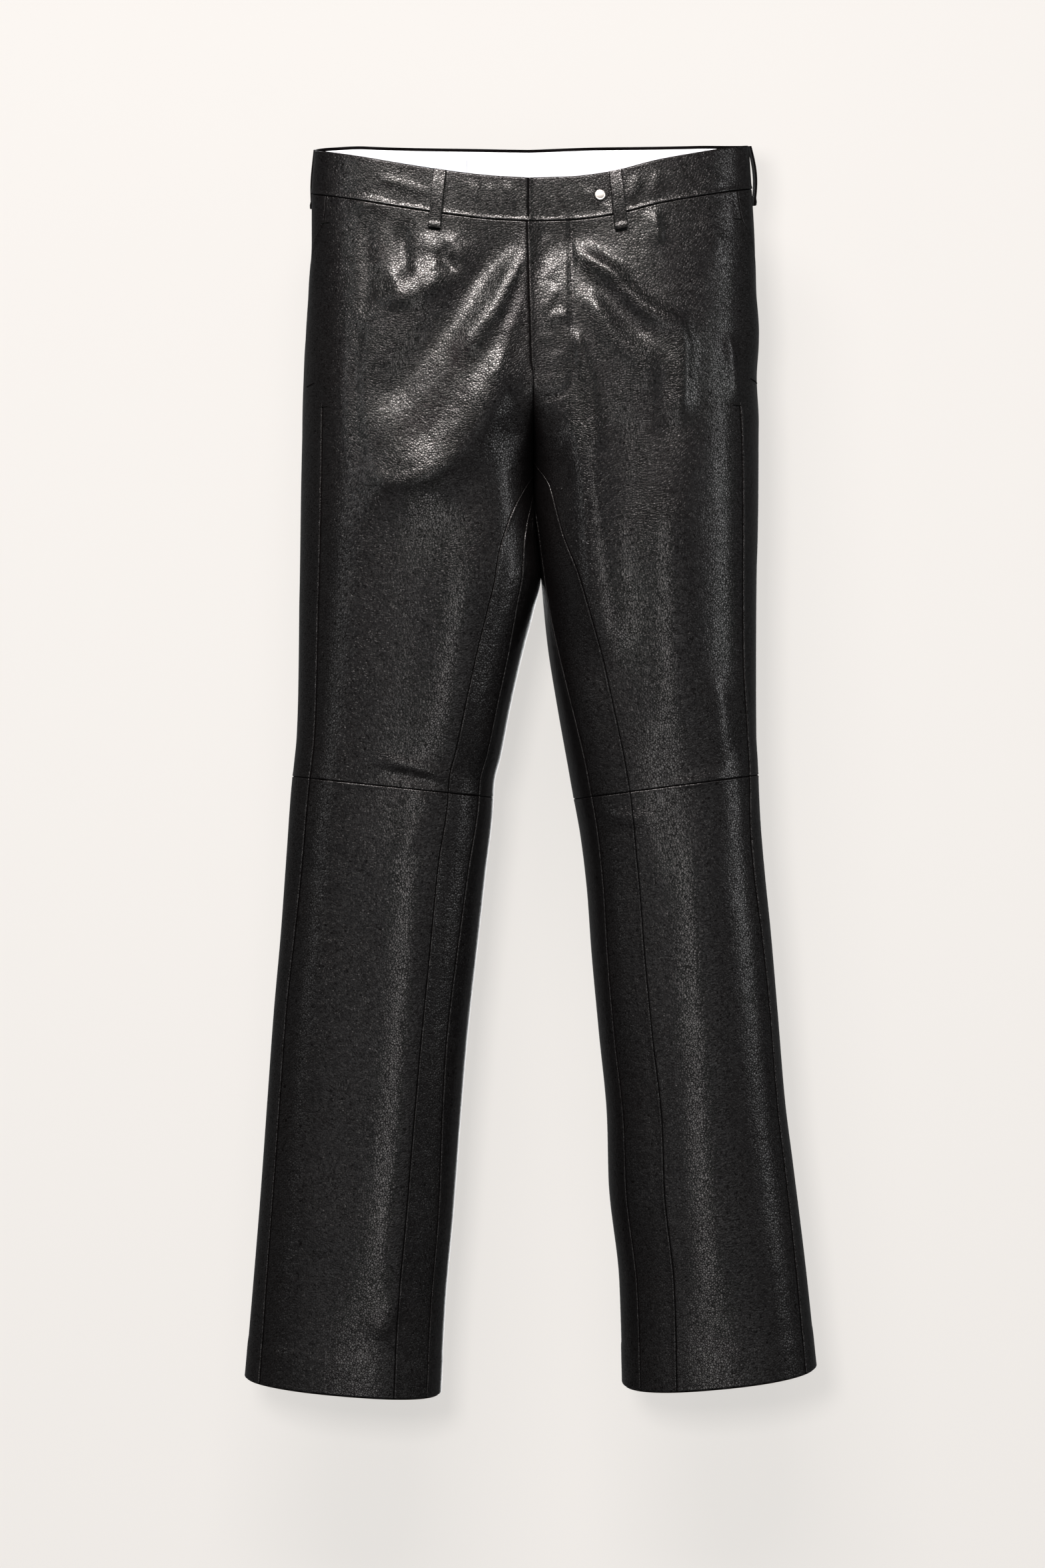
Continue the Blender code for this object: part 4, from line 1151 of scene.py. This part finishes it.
loop_cut = (LOOP_WIDTH * MM, LOOP_LENGTH * MM)
for name, *row in LOOPS:
    node = f"belt_loop_{name}"
    mesh = loop_mesh(f"loop_{name}", *row)
    add_piece(f"{node}_leather", mesh, leather, "black_leather", node, loop_cut, held="stretched")

# ------------------------------------------------------------------------------
# Snap: a pressed steel cap with a satin face and a rolled rim, closed on the band at the wearer's left of
# centre.
SNAP_PLACE = (59.6, -19.5)
SNAP_SEAT = 0.4
SNAP_SEGMENTS = 64
SNAP_CREASE = math.radians(50)
# Radius and height of each ring, from the seat over the rim to the middle.
SNAP_PROFILE = (
    (4.75, 0.0),
    (4.75, 0.75),
    (4.6, 1.25),
    (4.25, 1.6),
    (3.85, 1.68),
    (3.6, 1.56),
    (3.3, 1.6),
    (1.8, 1.8),
    (0.01, 1.86),
)
SNAP_RADIUS = SNAP_PROFILE[0][0]


def plain_material(name, colour, settings):
    made, tree = empty_material(name)
    shader = add_node(tree, "BsdfPrincipled", {"Base Color": linear(colour), **settings})
    add_node(tree, "OutputMaterial", {}, {"Surface": shader})
    return made


# Stainless steel, satin-brushed: it gives a soft grey highlight.
steel = plain_material("satin_steel", "#c9c5c1", {"Metallic": 1.0, "Roughness": 0.34})


def snap_point(offset_x, offset_z):
    here = section(LEFT, SNAP_PLACE[1] + offset_z)
    return form_point(LEFT, here.height, here.arc_at_x(SNAP_PLACE[0] + offset_x), -SNAP_SEAT)[0]


base = snap_point(0, 0)
out = (snap_point(SNAP_RADIUS, 0) - base).cross(snap_point(0, SNAP_RADIUS) - base).normalized()
rim_height = SNAP_PROFILE[1][1]
shape = bmesh.new()
bmesh.ops.create_cone(
    shape,
    cap_ends=False,
    segments=SNAP_SEGMENTS,
    radius1=SNAP_RADIUS,
    radius2=SNAP_PROFILE[1][0],
    depth=rim_height,
)
bmesh.ops.translate(shape, vec=(0, 0, rim_height / 2), verts=shape.verts)
for radius, height in SNAP_PROFILE[2:]:
    rim = [e for e in shape.edges if e.is_boundary and min(v.co.z for v in e.verts) > 0]
    old_radius = math.hypot(*rim[0].verts[0].co[:2])
    ring = bmesh.ops.extrude_edge_only(shape, edges=rim)
    for vert in new_verts(ring):
        vert.co = (vert.co.x * radius / old_radius, vert.co.y * radius / old_radius, height)
bmesh.ops.holes_fill(shape, edges=[e for e in shape.edges if e.is_boundary])
bmesh.ops.remove_doubles(shape, verts=shape.verts, dist=0.05)
bmesh.ops.recalc_face_normals(shape, faces=shape.faces)
turn = Vector((0, 0, 1)).rotation_difference(out).to_matrix().to_4x4()
bmesh.ops.transform(shape, matrix=Matrix.Translation(base) @ turn @ Matrix.Scale(MM, 4), verts=shape.verts)
mesh = make_mesh("snap_cap_steel", shape)
mesh.set_sharp_from_angle(angle=SNAP_CREASE)
add_piece("snap_cap_steel", mesh, steel, "satin_steel", "snap_cap")

# ------------------------------------------------------------------------------
# Sewing: the fly's stitched outline, short bar tacks at the ends of the pockets and at the tops of the
# slits in black thread, and a row of white stitches along the facing.
STITCH_PITCH = 3.4
STITCH_LENGTH = 2.6
STITCH_LIFT = 0.15
THREAD = 0.8
FLY_SPANS = 12
FLY_LINE = (
    (33.5, -74.0),
    (35.0, -140.0),
    (35.6, -200.0),
    (30.4, -216.9),
    (19.8, -223.2),
    (12.0, -225.2),
    (8.4, -223.8),
)
# Each bar tack's leg, place across and up, and slope.
TACKS = (
    (RIGHT, -177.8, -68.0, 0.0),
    (RIGHT, -190.6, -208.2, 0.3),
    (RIGHT, -178.0, -228.9, 0.0),
    (LEFT, 179.0, -65.0, 0.05),
    (LEFT, 193.8, -203.5, -0.3),
    (LEFT, 177.4, -227.6, 0.0),
)
TACK_LENGTH = 6.0
TACK_STITCHES = 9
TACK_LIFT = 0.2
TACK_THREAD = 1.4 * THREAD
TACK_REACH = (-0.7, 0.7)
WHITE_THREAD = 0.4
WHITE_LEVEL = -FACING_DROP - 1.7
WHITE_START = 0.3
SETTLING = 5


def add_stitch(shape, near, far, thread, out):
    """A stitch of thread from one place to another, half sunk in the leather."""
    along = far - near
    sideways = out.cross(along).normalized() * thread
    over = along.cross(sideways).normalized() * thread
    made = bmesh.ops.create_uvsphere(shape, u_segments=8, v_segments=6, radius=0.5)
    axes = Matrix((along, sideways, over)).transposed().to_4x4()
    bmesh.ops.transform(shape, matrix=Matrix.Translation((near + far) / 2) @ axes, verts=made["verts"])


def at_height(leg, x, z, lift):
    """A place over the front of the leather by its distance across and its true height, in metres."""
    height = z
    for _ in range(SETTLING):
        at = form_point(leg, height, section(leg, height).arc_at_x(x), -lift)[0]
        height += z - at.z / MM
    return at


shape = bmesh.new()
line = smooth_line([Vector(place) for place in FLY_LINE], FLY_SPANS)
sewn = distances(line)
for i in range(int(sewn[-1] / STITCH_PITCH)):
    ends = []
    for along in (i * STITCH_PITCH, i * STITCH_PITCH + STITCH_LENGTH):
        ends.append(at_height(LEFT, *between(sewn, line, along), STITCH_LIFT))
    add_stitch(shape, *ends, THREAD * MM, Vector((0, -1, 0)))
for leg, tack_x, tack_z, slope in TACKS:
    for i in range(TACK_STITCHES):
        shift = TACK_LENGTH * (i / (TACK_STITCHES - 1) - 0.5)
        x, z = tack_x + shift, tack_z + slope * shift
        ends = [at_height(leg, x, z + step, TACK_LIFT) for step in TACK_REACH]
        add_stitch(shape, *ends, TACK_THREAD * MM, Vector((0, -1, 0)))
# Spun polyester thread, here and on the facing: it gives a fine matt line.
black_thread = plain_material("black_thread", "#050505", {"Roughness": 0.7, "Specular IOR Level": 0.1})
add_piece("black_stitching", make_mesh("black_stitching", shape), black_thread, "black_leather")

shape = bmesh.new()
for leg, first in FACING_FIRST.items():
    whole = section(leg, -FACING_DROP).length
    for i in range(int((whole - first) / STITCH_PITCH)):
        arcs = [first + i * STITCH_PITCH + along for along in (WHITE_START, WHITE_START + STITCH_LENGTH)]
        ends = [form_point(leg, WHITE_LEVEL, arc, FACING_NEAR + FACING_WALL)[0] for arc in arcs]
        add_stitch(shape, *ends, WHITE_THREAD * MM, Vector((0, 0, 1)))
white_thread = plain_material("white_thread", "#dcdedf", {"Roughness": 0.7})
add_piece("white_stitching", make_mesh("white_stitching", shape), white_thread, "white_cotton")

bpy.context.view_layer.update()
